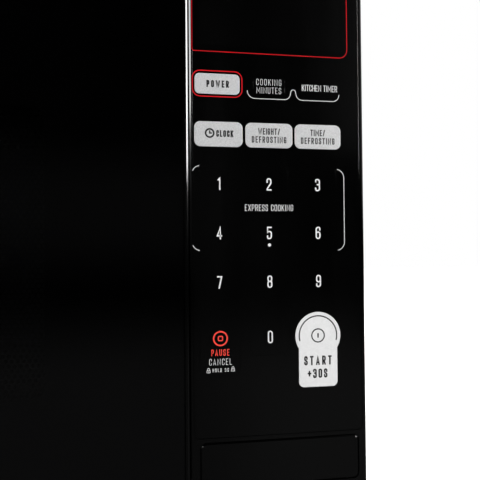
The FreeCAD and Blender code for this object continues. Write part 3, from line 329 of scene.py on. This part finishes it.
def bulb_and_holder(name, split):
    """A clear bulb below the level split, and its ceramic holder above."""
    made = Surface(name, IOR=1.5)
    upper = made.span(made.axis(2), split, split + 0.0004, 0, 1)
    cloud = made.noise(80, 4)
    made.set("Base Color", made.tint(upper, (0.95, 0.93, 0.88), (0.72, 0.70, 0.66)))
    dulled = made.span(cloud, 0.4, 0.7, 0, 0.06)
    made.set("Roughness", made.math("ADD", made.span(upper, 0, 1, 0.03, 0.45), dulled))
    made.set("Transmission Weight", made.span(upper, 0, 1, 1, 0))
    return made


PANEL_BLACK = gloss_black("panel_black")
DOOR_BLACK = gloss_black("door_black")
FILM_BLACK = gloss_black("film_black", shine=0.07)
PRINT_WHITE = printed("print_white", grey(0.80), grain=0.015)
PRINT_SOFT = printed("print_soft_white", grey(0.62), grain=0.03)
PRINT_DARK = printed("print_dark", grey(0.012), grain=0.1)
PRINT_RED = printed("print_red", (0.86, 0.055, 0.035), grain=0.02)
PRINT_LINE_RED = printed("print_line_red", (0.50, 0.004, 0.009), grain=0.03)
SILVER = silver_print("key_silver", (0.87, 0.87, 0.875))
WHITE_KEY = printed("key_white", grey(0.78), grain=0.02, rough=0.3)

LOOKS = {
    "outer_cover": powder_coat("cover_paint", grey(0.016)),
    "rear_panel": powder_coat("rear_paint", grey(0.018), 0.5),
    "front_plate": enamel("plate_enamel", (0.50, 0.50, 0.485)),
    "oven_cavity": enamel("cavity_enamel", (0.53, 0.53, 0.51)),
    "base_plate": sheet_metal("zinc_sheet", (0.60, 0.61, 0.62)),
    "waveguide": sheet_metal("zinc_guide", (0.62, 0.63, 0.64)),
    "hinge_brackets": sheet_metal("zinc_bracket", (0.58, 0.58, 0.60), grain=(1, 1, 0.1)),
    "feet": rubber("foot_rubber"),
    "cord_gland": rubber("gland_rubber", grey(0.012)),
    "cover_screws": sheet_metal("screw_steel", (0.20, 0.20, 0.21), 0.35, 900),
    "waveguide_cover": mica("mica_sheet"),
    "magnetron_yoke": sheet_metal("yoke_steel", (0.55, 0.56, 0.58)),
    "magnetron_core": sheet_metal("fin_aluminium", (0.78, 0.78, 0.80), 0.3, 300, (0.05, 1, 1)),
    "transformer_core": laminated("core_steel", (0.30, 0.30, 0.32), "Y"),
    "transformer_coils": laminated("coil_copper", (0.62, 0.26, 0.09), "Z", 260),
    "hv_capacitor": sheet_metal("can_aluminium", (0.74, 0.75, 0.76), 0.28, 120, (1, 0.05, 1)),
    "fan_shroud": moulded("shroud_plastic", grey(0.03)),
    "fan_blade": moulded("fan_plastic", (0.045, 0.045, 0.05), 0.4),
    "fan_motor": laminated("motor_stack", (0.36, 0.36, 0.38), "Y", 280),
    "oven_lamp": bulb_and_holder("lamp_parts", 0.222),
    "turntable_motor": sheet_metal("motor_can", (0.62, 0.62, 0.60), 0.3, 200),
    "drive_coupler": moulded("coupler_plastic", (0.60, 0.59, 0.54), 0.45),
    "roller_ring": moulded("ring_plastic", (0.58, 0.57, 0.52), 0.45),
    "glass_tray": clear_glass("tray_glass", (0.90, 0.965, 0.95)),
    "door_frame": DOOR_BLACK,
    "door_glass": clear_glass("door_tint", (0.34, 0.34, 0.35), 0.03, 0.000002),
    "choke_cover": moulded("inner_panel_plastic", grey(0.014), 0.38, 1200),
    "door_hooks": moulded("hook_plastic", (0.62, 0.62, 0.60), 0.4),
    "latch_board": moulded("latch_plastic", (0.60, 0.60, 0.57), 0.45),
    "interlock_switches": moulded("switch_plastic", (0.10, 0.10, 0.11), 0.4),
    "release_lever": moulded("lever_plastic", (0.66, 0.66, 0.64), 0.4),
    "release_button": gloss_black("button_black", shine=0.07),
    "keypad_overlay": FILM_BLACK,
    "display_window": gloss_black("lens_smoke", level=0.001, shine=0.07),
    "control_panel": PANEL_BLACK,
    "control_board": circuit_board("circuit_board"),
    "display_module": moulded("display_plastic", grey(0.04), 0.5),
    "key_start": WHITE_KEY,
}
for roller in (1, 2, 3):
    LOOKS["roller_%d" % roller] = moulded("roller_plastic_%d" % roller, (0.56, 0.55, 0.50), 0.4)
for name in ("key_power", "key_clock", "key_weight_defrost", "key_time_defrost"):
    LOOKS[name] = SILVER
for name in NODES:
    if name.startswith("key_") and name not in LOOKS:
        LOOKS[name] = FILM_BLACK

for name, look in LOOKS.items():
    node = NODES[name]
    for slot in node.material_slots:
        slot.material = look.material


# ------------------------------------------------------------------ mesh helpers
def link_new(name, data):
    made = bpy.data.objects.new(name, data)
    bpy.context.scene.collection.objects.link(made)
    return made


def add_piece(name, mesh, look, body):
    mesh.materials.append(look.material)
    made = link_new(name, mesh)
    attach(made, body)
    return made


def add_mesh(name, vertices, faces, look, body):
    mesh = bpy.data.meshes.new(name)
    mesh.from_pydata([tuple(vertex) for vertex in vertices], [], faces)
    mesh.validate()
    return add_piece(name, mesh, look, body)


def thicken(piece, thickness, offset):
    solid = piece.modifiers.new("thickness", "SOLIDIFY")
    solid.thickness = thickness
    solid.offset = offset


def faces_between(count):
    """Faces between two loops of that many vertices each, one loop after the other."""
    return [(i, (i + 1) % count, count + (i + 1) % count, count + i) for i in range(count)]


SAME = 1e-6


def bend(points, closed=False, steps=6):
    """A path through (u, v, radius) points, with each corner rounded to its radius."""
    count = len(points)
    path = []
    for index, (u, v, radius) in enumerate(points):
        corner = Vector((u, v))
        if radius == 0 or (not closed and index in (0, count - 1)):
            path.append(corner)
            continue
        before = Vector(points[index - 1][:2]) - corner
        after = Vector(points[(index + 1) % count][:2]) - corner
        half = before.angle(after) / 2
        reach = min(radius / math.tan(half), before.length * 0.5, after.length * 0.5)
        bow = reach * math.tan(half)
        centre = corner + (before.normalized() + after.normalized()).normalized() * (bow / math.sin(half))
        start = corner + before.normalized() * reach - centre
        sweep = start.angle_signed(corner + after.normalized() * reach - centre)
        for step in range(steps + 1):
            path.append(centre + Matrix.Rotation(-sweep * step / steps, 2) @ start)
    apart = [point for index, point in enumerate(path)
             if index == 0 or (point - path[index - 1]).length > SAME]
    if closed and (apart[0] - apart[-1]).length < SAME:
        apart.pop()
    return apart


def ribbon(path, width, closed=False, caps=0.0):
    """A flat band of even width along a path, as (vertices, faces)."""
    if not closed and caps:
        path = [path[0] + (path[0] - path[1]).normalized() * caps, *path[1:-1],
                path[-1] + (path[-1] - path[-2]).normalized() * caps]
    count = len(path)
    vertices = []
    for index, point in enumerate(path):
        before = path[index - 1] if index or closed else None
        after = path[(index + 1) % count] if index < count - 1 or closed else None
        arms = [(point - before).normalized()] if before is not None else []
        arms += [(after - point).normalized()] if after is not None else []
        along = sum(arms, Vector((0, 0))).normalized()
        normal = Vector((-along.y, along.x))
        square = Vector((-arms[0].y, arms[0].x))
        reach = width / 2 / max(0.45, normal.dot(square))
        vertices += [point + normal * reach, point - normal * reach]
    turns = count if closed else count - 1
    faces = [(2 * i, 2 * i + 1, (2 * i + 3) % (2 * count), (2 * i + 2) % (2 * count)) for i in range(turns)]
    return vertices, faces


def disc(u, v, radius, steps=28):
    turn = math.tau / steps
    rim = [Vector((u + radius * math.cos(turn * i), v + radius * math.sin(turn * i))) for i in range(steps)]
    return rim, [tuple(range(steps))]


def circle_path(u, v, radius, start=0, end=360, steps=36):
    closed = end - start == 360
    count = steps if closed else steps + 1
    turns = [math.radians(start + (end - start) * i / steps) for i in range(count)]
    return [Vector((u + radius * math.cos(turn), v + radius * math.sin(turn))) for turn in turns]


def box_path(u, v, across, tall, radius):
    right, top = across / 2, tall / 2
    corners = [(u - right, v - top), (u + right, v - top), (u + right, v + top), (u - right, v + top)]
    return bend([(*corner, radius) for corner in corners], closed=True)


def print_piece(name, bands, look, body, face=KEYPAD_FACE):
    """Ink on the keypad, as thin solids; bands are placed from the middle of the 5 key in millimetres.

    Bands that cross each other get levels of their own, so no two faces coincide."""
    placed, faces = [], []
    for index, (points, some_faces) in enumerate(bands):
        start, level = len(placed), face - INK * (1 + INK_STEP * (index % INK_LEVELS))
        placed += [(KEYPAD.x + point.x * MM, level, KEYPAD.z + point.y * MM) for point in points]
        faces += [[start + corner for corner in corners] for corners in some_faces]
    made = add_mesh(name, placed, faces, look, body)
    work = bmesh.new()
    work.from_mesh(made.data)
    for work_face in work.faces:
        if work_face.normal.y > 0:
            work_face.normal_flip()
    work.to_mesh(made.data)
    work.free()
    thicken(made, 1.3 * INK, -1)
    return made


# ------------------------------------------------------------------ lettering
# Each glyph: its width against the height, then strokes as "u,v" points in a unit box.
# A star rounds that corner, and a final z closes the stroke.
GLYPHS = {
    "0": (0.42, "0,0* 1,0* 1,1* 0,1* z"),
    "1": (0.24, "0,.84 1,1 1,0"),
    "2": (0.42, "0,.70 0,1* 1,1* 1,.60* 0,.08 0,0 1,0"),
    "3": (0.42, "0,.8 0,1* 1,1* 1,.53* .45,.53", ".45,.53 1,.53* 1,0* 0,0* 0,.2"),
    "4": (0.44, ".74,0 .74,1 0,.24 1,.24"),
    "5": (0.42, ".95,1 .05,1 .02,.57 .1,.62 1,.62* 1,0* 0,0* 0,.22"),
    "6": (0.42, "0,0* 1,0* 1,.58* 0,.58* z", "0,.3 0,1* 1,1* 1,.78"),
    "7": (0.42, "0,1 1,1 .38,0"),
    "8": (0.42, "0,0* 1,0* 1,.53* 0,.53* z", ".03,.53* .97,.53* .97,1* .03,1* z"),
    "9": (0.42, "1,1* 0,1* 0,.42* 1,.42* z", "1,.7 1,0* 0,0* 0,.22"),
    "A": (0.44, "0,0 .5,1 1,0", ".22,.24 .78,.24"),
    "C": (0.40, "1,.70 1,1* 0,1* 0,0* 1,0* 1,.30"),
    "D": (0.40, "0,0 1,0* 1,1* 0,1 z"),
    "E": (0.36, "1,1 0,1 0,0 1,0", "0,.5 .85,.5"),
    "F": (0.36, "1,1 0,1 0,0", "0,.5 .85,.5"),
    "G": (0.40, "1,.72 1,1* 0,1* 0,0* 1,0* 1,.46 .55,.46"),
    "H": (0.42, "0,0 0,1", "1,0 1,1", "0,.5 1,.5"),
    "I": (0.13, ".5,0 .5,1"),
    "K": (0.42, "0,0 0,1", "1,1 .1,.42", ".38,.6 1,0"),
    "L": (0.36, "0,1 0,0 1,0"),
    "M": (0.60, "0,0 0,1 .5,.3 1,1 1,0"),
    "N": (0.48, "0,0 0,1 1,0 1,1"),
    "O": (0.42, "0,0* 1,0* 1,1* 0,1* z"),
    "P": (0.40, "0,0 0,1 1,1* 1,.42* 0,.42"),
    "R": (0.42, "0,0 0,1 1,1* 1,.46* 0,.46", ".5,.46 1,0"),
    "S": (0.40, "1,.74 1,1* 0,1* 0,.58* 1,.42* 1,0* 0,0* 0,.26"),
    "T": (0.40, "0,1 1,1", ".5,1 .5,0"),
    "U": (0.42, "0,1 0,0* 1,0* 1,1"),
    "W": (0.62, "0,1 .24,0 .5,.85 .76,0 1,1"),
    "X": (0.44, "0,0 1,1", "0,1 1,0"),
    "+": (0.42, "0,.5 1,.5", ".5,.24 .5,.76"),
    "/": (0.36, "0,0 1,1"),
    " ": (0.20,),
}


CORNER_SHARE = 0.42


def words(text, u, v, height, weight=0.115, spacing=0.2):
    """Bands for one line of lettering, centred on (u, v), with capitals of that height.

    weight is the stroke's width and spacing the gap between letters, both against the height."""
    stroke = height * weight
    total = sum(GLYPHS[letter][0] for letter in text) + spacing * (len(text) - 1)
    cursor = u - total * height / 2
    foot = v - height / 2 + stroke / 2
    bands = []
    for letter in text:
        wide = GLYPHS[letter][0] * height
        inner, tall = max(0, wide - stroke), height - stroke
        for line in GLYPHS[letter][1:]:
            closed = line.endswith("z")
            points = []
            for point in line.replace(" z", "").split():
                across, up = (float(number) for number in point.rstrip("*").split(","))
                radius = CORNER_SHARE * wide if point.endswith("*") else 0
                points.append((cursor + stroke / 2 + across * inner, foot + up * tall, radius))
            bands.append(ribbon(bend(points, closed), stroke, closed, caps=stroke / 2))
        cursor += wide + spacing * height
    return bands


def padlock(u, v, size, open_shackle=False):
    """A small padlock: an outlined body and its bow."""
    line = size * 0.1
    body = ribbon(box_path(u, v - size * 0.22, size * 0.72, size * 0.52, size * 0.08), line, closed=True)
    legs = (0.1 if open_shackle else 0.0) * size
    bow = bend([(u - size * 0.22, v + size * 0.04, 0), (u - size * 0.22, v + size * 0.5, size * 0.22),
                (u + size * 0.22, v + size * 0.5, size * 0.22), (u + size * 0.22, v + size * 0.04 + legs, 0)])
    return [body, ribbon(bow, line), disc(u, v - size * 0.22, size * 0.09, 12)]


# ------------------------------------------------------------------ prints on the keys and overlay
ROW, COLUMN = 25.8, 27.0
LAST_ROW = -55.0
DIGIT, WORD = 6.6, 3.4
LINE = 0.42
for digit in range(10):
    u = 0.0 if digit == 0 else ((digit - 1) % 3 - 1) * COLUMN
    v = LAST_ROW if digit == 0 else (1 - (digit - 1) // 3) * ROW
    bands = words(str(digit), u, v, DIGIT, 0.112)
    if digit == 5:
        bands.append(disc(0, -6.4, 0.88))
    print_piece("print_digit_%d" % digit, bands, PRINT_WHITE, "key_%d" % digit)

print_piece("print_power", words("POWER", -27.3, 78.3, 3.7, 0.19, 0.25), PRINT_DARK,
            "key_power")
cook_time = words("COOKING", 0.4, 80.3, WORD, 0.08, 0.23) + words("MINUTES", 0.4, 75.9, WORD, 0.08)
print_piece("print_cook_time", cook_time, PRINT_SOFT, "key_cook_time")
print_piece("print_timer", words("KITCHEN TIMER", 28.7, 78.2, WORD, 0.09, 0.095), PRINT_WHITE,
            "key_timer")

CLOCK = (-31.75, 52.3)
clock_bands = words("CLOCK", -23.7, 52.2, 3.5, 0.185, 0.15) + [
    ribbon(circle_path(*CLOCK, 2.15), 0.85, closed=True),
    ribbon([Vector((CLOCK[0], CLOCK[1] + 1.4)), Vector(CLOCK), Vector((CLOCK[0] + 1.15, CLOCK[1]))], 0.7)]
print_piece("print_clock", clock_bands, PRINT_DARK, "key_clock")
for name, first, u in (("weight", "WEIGHT/", 0.3), ("time", "TIME/", 27.4)):
    bands = words(first, u, 54.0, WORD, 0.15, 0.14) + words("DEFROSTING", u, 49.6, WORD, 0.15)
    print_piece("print_%s_defrost" % name, bands, PRINT_DARK, "key_%s_defrost" % name)

STOP = (-26.8, LAST_ROW)
stop_red = [ribbon(circle_path(*STOP, 3.6), 0.8, closed=True),
            ribbon(box_path(*STOP, 2.2, 2.2, 0.4), 0.6, closed=True)]
stop_red += words("PAUSE", -26.9, -62.3, WORD, 0.13)
print_piece("print_pause", stop_red, PRINT_RED, "key_stop")
print_piece("print_cancel", words("CANCEL", -26.8, -67.1, WORD, 0.085, 0.22), PRINT_SOFT,
            "key_stop")
hold = words("HOLD 3S", -26.8, -71.4, 1.9, 0.11, 0.32)
hold += padlock(-33.2, -71.4, 2.4) + padlock(-20.3, -71.0, 2.4, open_shackle=True)
print_piece("print_hold", hold, PRINT_WHITE, "key_stop")

START = (26.4, LAST_ROW)
start_bands = [ribbon(circle_path(*START, 10.5, -15, 195, 60), 0.65),
               ribbon(circle_path(*START, 3.5), 0.65, closed=True),
               ribbon([Vector((START[0], START[1] - 1.2)), Vector((START[0], START[1] + 1.2))], 0.75)]
start_bands += words("START", 26.2, -68.3, 4.9, 0.17, 0.27) + words("+30S", 25.9, -75.2, 4.9, 0.17)
print_piece("print_start", start_bands, PRINT_DARK, "key_start")


def overlay_print(name, bands, look):
    return print_piece(name, bands, look, "oven", OVERLAY_FACE)


overlay_print("print_express", words("EXPRESS COOKING", 0.0, 13.35, WORD, 0.085, 0.15), PRINT_WHITE)
peak = bend([(-7.3, 71.4, 0), (11.7, 71.4, 4), (12.8, 76.8, 1.2), (14.9, 76.8, 1.2),
             (16.0, 71.4, 4), (36.0, 71.4, 0)])
joined = circle_path(-7.3, 75.5, 4.1, 180, 270, 8) + peak[1:-1] + circle_path(36.0, 75.1, 3.7, 270, 360, 8)
overlay_print("print_joined_line", [ribbon(joined, 0.4)], PRINT_SOFT)
bracket = circle_path(37.4, 29.9, 4.6, 80, 0, 12) + circle_path(37.4, -4.8, 4.6, 0, -80, 12)
overlay_print("print_bracket_right", [ribbon(bracket, LINE)], PRINT_SOFT)
for name, v, start, end in (("upper", 30.8, 97, 158), ("lower", -4.8, 202, 263)):
    arc = circle_path(-36.9, v, 4.3, start, end, 10)
    overlay_print("print_bracket_left_" + name, [ribbon(arc, LINE)], PRINT_SOFT)
power = box_path(-27.5, 78.35, 26.5, 13.5, 4.0)
overlay_print("print_power_line", [ribbon(power, 0.6, closed=True)], PRINT_LINE_RED)
display = [(-40.85, 95.4, 1.2), (44.55, 95.4, 4.5), (44.55, 135.6, 4.5), (-40.85, 135.6, 1.2)]
overlay_print("print_display_line", [ribbon(bend(display, closed=True), 0.48, closed=True)], PRINT_LINE_RED)


# ------------------------------------------------------------------ door: print behind the glass, screen
def rounded_ring(outer, inner, radius_out, radius_in, level, name, look, body):
    """A flat rectangular frame in the XZ plane; outer and inner are (left, right, low, high) in metres."""
    def rim(span, radius):
        left, right, low, high = span
        corners = [(left, low), (right, low), (right, high), (left, high)]
        return bend([(*corner, radius) for corner in corners], closed=True, steps=8)
    outside, inside = rim(outer, radius_out), rim(inner, radius_in)
    vertices = [(point.x, level, point.y) for point in outside + inside]
    return add_mesh(name, vertices, faces_between(len(outside)), look, body)


GLASS_LOW, GLASS_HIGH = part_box("door_glass")
TRAY = middle("glass_tray")
HALF_WINDOW = 0.126
WINDOW = (TRAY.x - HALF_WINDOW, TRAY.x + HALF_WINDOW, 0.062, 0.210)
ENAMEL = gloss_black("glass_enamel", level=0.002, shine=0.3)
rim_gap = 0.3 * MM
glass_rim = (GLASS_LOW.x + rim_gap, GLASS_HIGH.x - rim_gap, GLASS_LOW.z + rim_gap, GLASS_HIGH.z - rim_gap)
rounded_ring(glass_rim, WINDOW, 3 * MM, 6 * MM, GLASS_HIGH.y + 0.06 * MM,
             "door_glass_print", ENAMEL, "door")


def holed_mesh(left, right, bottom, top, level):
    """Hexagonal cells that share their sides, each with a round hole in the middle."""
    pitch, hole = 3.0 * MM, 1.12 * MM
    rise = pitch * math.sqrt(3) / 2
    columns = int((right - left) / pitch)
    rows = int((top - bottom) / rise)
    work = bmesh.new()

    def around(x, z, sides, reach):
        turns = [math.radians(360 / sides * side + 30) for side in range(sides)]
        return [work.verts.new((x + reach * math.cos(turn), level, z + reach * math.sin(turn)))
                for turn in turns]

    for row in range(rows):
        for column in range(columns):
            x = left + pitch * (column + 0.5 + 0.5 * (row % 2))
            z = bottom + rise * (row + 0.5)
            outer, inner = around(x, z, 6, pitch / math.sqrt(3)), around(x, z, 12, hole)
            for side in range(6):
                following = (side + 1) % 6
                first, middle, last = inner[2 * side], inner[2 * side + 1], inner[(2 * side + 2) % 12]
                work.faces.new((outer[side], outer[following], last, middle, first))
    bmesh.ops.remove_doubles(work, verts=work.verts, dist=pitch * 0.01)
    mesh = bpy.data.meshes.new("screen_holes")
    work.to_mesh(mesh)
    work.free()
    return mesh


def perforated_sheet():
    """The steel screen: a holed middle behind the window, a plain border and a folded rim."""
    low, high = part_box("door_screen")
    level = low.y + 0.4 * MM
    lap, corner = 4 * MM, 6 * MM
    left, right, bottom, top = (WINDOW[0] - lap, WINDOW[1] + lap, WINDOW[2] - lap, WINDOW[3] + lap)
    look = moulded("screen_steel", grey(0.03), 0.35, 700)
    look.set("Metallic", 0.4)
    mesh = holed_mesh(left, right, bottom, top, level)
    holes = add_piece("screen_holes", mesh, look, "door")
    inside = (left + 2 * MM, right - 2 * MM, bottom + 2 * MM, top - 3 * MM)
    border = rounded_ring((low.x, high.x, low.z, high.z), inside, corner, 3 * MM, level - 0.1 * MM,
                          "screen_border", look, "door")
    thicken(border, 0.7 * MM, 0)
    corners = [(low.x, low.z), (high.x, low.z), (high.x, high.z), (low.x, high.z)]
    rim = bend([(*place, corner) for place in corners], closed=True, steps=8)
    vertices = [(point.x, y, point.y) for y in (low.y + 0.3 * MM, high.y) for point in rim]
    wall = add_mesh("screen_rim", vertices, faces_between(len(rim)), look, "door")
    thicken(wall, 0.8 * MM, 1)
    for piece in (holes, border, wall):
        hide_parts("door_screen")


perforated_sheet()


# ------------------------------------------------------------------ spring of the release button
def coil_spring():
    """A wire coil with closer turns at its ends; the whole coil stays put on the oven body when the button
    moves.
    """
    low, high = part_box("button_spring")
    centre = (low + high) / 2
    wire, turns, steps = 0.45 * MM, 9, 24
    radius = (high.x - low.x) / 2 - wire
    curve = bpy.data.curves.new("button_coil", "CURVE")
    curve.dimensions = "3D"
    curve.bevel_depth = wire
    curve.bevel_resolution = 3
    line = curve.splines.new("POLY")
    line.points.add(turns * steps)
    for index, point in enumerate(line.points):
        turn = math.tau * index / steps
        along = index / (turns * steps)
        y = low.y + wire + (high.y - low.y - 2 * wire) * (3 * along ** 2 - 2 * along ** 3)
        point.co = (centre.x + radius * math.cos(turn), y, centre.z + radius * math.sin(turn), 1)
    curve.materials.append(sheet_metal("spring_wire", (0.66, 0.66, 0.68), 0.25, 300).material)
    coil = link_new("button_coil", curve)
    bpy.context.view_layer.objects.active = coil
    coil.select_set(True)
    bpy.ops.object.convert(target="MESH")
    coil = bpy.context.view_layer.objects.active
    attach(coil, "oven")
    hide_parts("button_spring")
    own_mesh(coil)


coil_spring()


# ------------------------------------------------------------------ stage, light and camera
def stage_floor():
    bpy.ops.mesh.primitive_plane_add(size=14, location=(0, 0, 0))
    floor = bpy.context.active_object
    floor.name = "floor"
    look = Surface("floor_pale", Roughness=0.7)
    look.set("Base Color", look.tint(look.noise(3, 3), grey(0.90), grey(0.93)))
    seen = look.add("ShaderNodeLightPath").outputs["Is Camera Ray"]
    look.set("Emission Color", grey(1))
    look.set("Emission Strength", look.math("MULTIPLY", seen, 0.45))
    floor.data.materials.append(look.material)
    floor.visible_glossy = False
    floor.visible_transmission = False


def area_light(name, place, aim, size, power):
    data = bpy.data.lights.new(name, "AREA")
    data.energy = power
    data.size = size
    lamp = link_new(name, data)
    lamp.location = place
    lamp.rotation_euler = (Vector(aim) - Vector(place)).to_track_quat("-Z", "Y").to_euler()
    lamp.visible_camera = False
    return data


def softbox(name, target, azimuth, distance, low, high, width, power):
    """An upright panel of light; azimuth is in degrees to the right of straight ahead of the oven."""
    turn = math.radians(azimuth)
    level = (low + high) / 2
    place = (target.x + distance * math.sin(turn), target.y - distance * math.cos(turn), level)
    data = area_light(name, place, (target.x, target.y, level), width, power)
    data.shape = "RECTANGLE"
    data.size_y = high - low


def studio_world():
    """White backdrop; reflections see bright walls beside and behind, and a dark front with faint glows.

    Thresholds are parts of a unit direction: across to the right, depth away from the front, up."""
    world = bpy.data.worlds.new("studio")
    world.use_nodes = True
    bpy.context.scene.world = world
    tree = world.node_tree
    tree.nodes.clear()

    def add(kind, **values):
        made = tree.nodes.new(kind)
        for name, value in values.items():
            setattr(made, name, value)
        return made

    def step(source, low, high, start, end):
        made = add("ShaderNodeMapRange", interpolation_type="SMOOTHSTEP")
        for index, value in enumerate((low, high, start, end), start=1):
            made.inputs[index].default_value = value
        tree.links.new(source, made.inputs[0])
        return made.outputs[0]

    def combine(operation, first, *others):
        for other in others:
            made = add("ShaderNodeMath", operation=operation)
            tree.links.new(first, made.inputs[0])
            tree.links.new(other, made.inputs[1])
            first = made.outputs[0]
        return first

    direction = add("ShaderNodeSeparateXYZ")
    tree.links.new(add("ShaderNodeTexCoord").outputs["Generated"], direction.inputs[0])
    across, depth, up = direction.outputs
    walls = combine("MULTIPLY", step(up, 0.03, 0.09, 0.02, 0.95), step(depth, -0.3, -0.2, 0, 1))
    low_glow = combine("MULTIPLY", step(up, -0.04, -0.168, 0, 0.1), step(across, 0.12, 0.28, 0.55, 1))
    right_glow = combine("MULTIPLY", step(up, 0.12, 0.168, 0, 0.1), step(across, 0.28, 0.375, 0, 1))
    left_glow = combine("MULTIPLY", step(up, 0.183, 0.085, 0, 0.028), step(up, -0.055, 0.057, 0, 1),
                        step(across, 0.29, 0.1, 0, 1))
    all_glows = combine("ADD", low_glow, right_glow, left_glow)
    lit = combine("ADD", walls, combine("MULTIPLY", all_glows, step(depth, -0.2, -0.3, 0, 1)))
    seen = add("ShaderNodeLightPath").outputs["Is Camera Ray"]
    mix = add("ShaderNodeMix", data_type="FLOAT")
    tree.links.new(seen, mix.inputs[0])
    tree.links.new(lit, mix.inputs[2])
    mix.inputs[3].default_value = 1.0
    background = add("ShaderNodeBackground")
    background.inputs["Color"].default_value = (1, 1, 1, 1)
    tree.links.new(mix.outputs[0], background.inputs["Strength"])
    tree.links.new(background.outputs[0], add("ShaderNodeOutputWorld").inputs[0])


def photograph_camera():
    data = bpy.data.cameras.new("camera")
    data.lens = 53.4
    data.sensor_width = 36
    camera = link_new("camera", data)
    right = Vector((0.9777, -0.2097, -0.0079)).normalized()
    back = right.cross(Vector((0.0027, -0.0249, 0.9997))).normalized()
    up = back.cross(right)
    turn = Matrix((right, up, back)).transposed().to_4x4()
    camera.matrix_world = Matrix.Translation((0.0949, -0.5657, 0.1334)) @ turn
    bpy.context.scene.camera = camera


stage_floor()
studio_world()
seam = Vector((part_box("door_frame")[1].x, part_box("door_frame")[0].y, 0))
softbox("right_softbox", seam, 66.5, 2.0, 0.415, 1.15, 0.44, 31.4)
softbox("left_softbox", seam, -50.5, 2.0, 0.60, 1.15, 0.50, 13.9)
oven_middle = (0.0, 0.1, 0.1)
area_light("top_light", (0.0, 0.4, 1.8), oven_middle, 1.4, 26)
area_light("back_light", (0.7, 1.6, 1.0), oven_middle, 1.0, 13)
photograph_camera()
bpy.context.scene.view_settings.view_transform = "Standard"
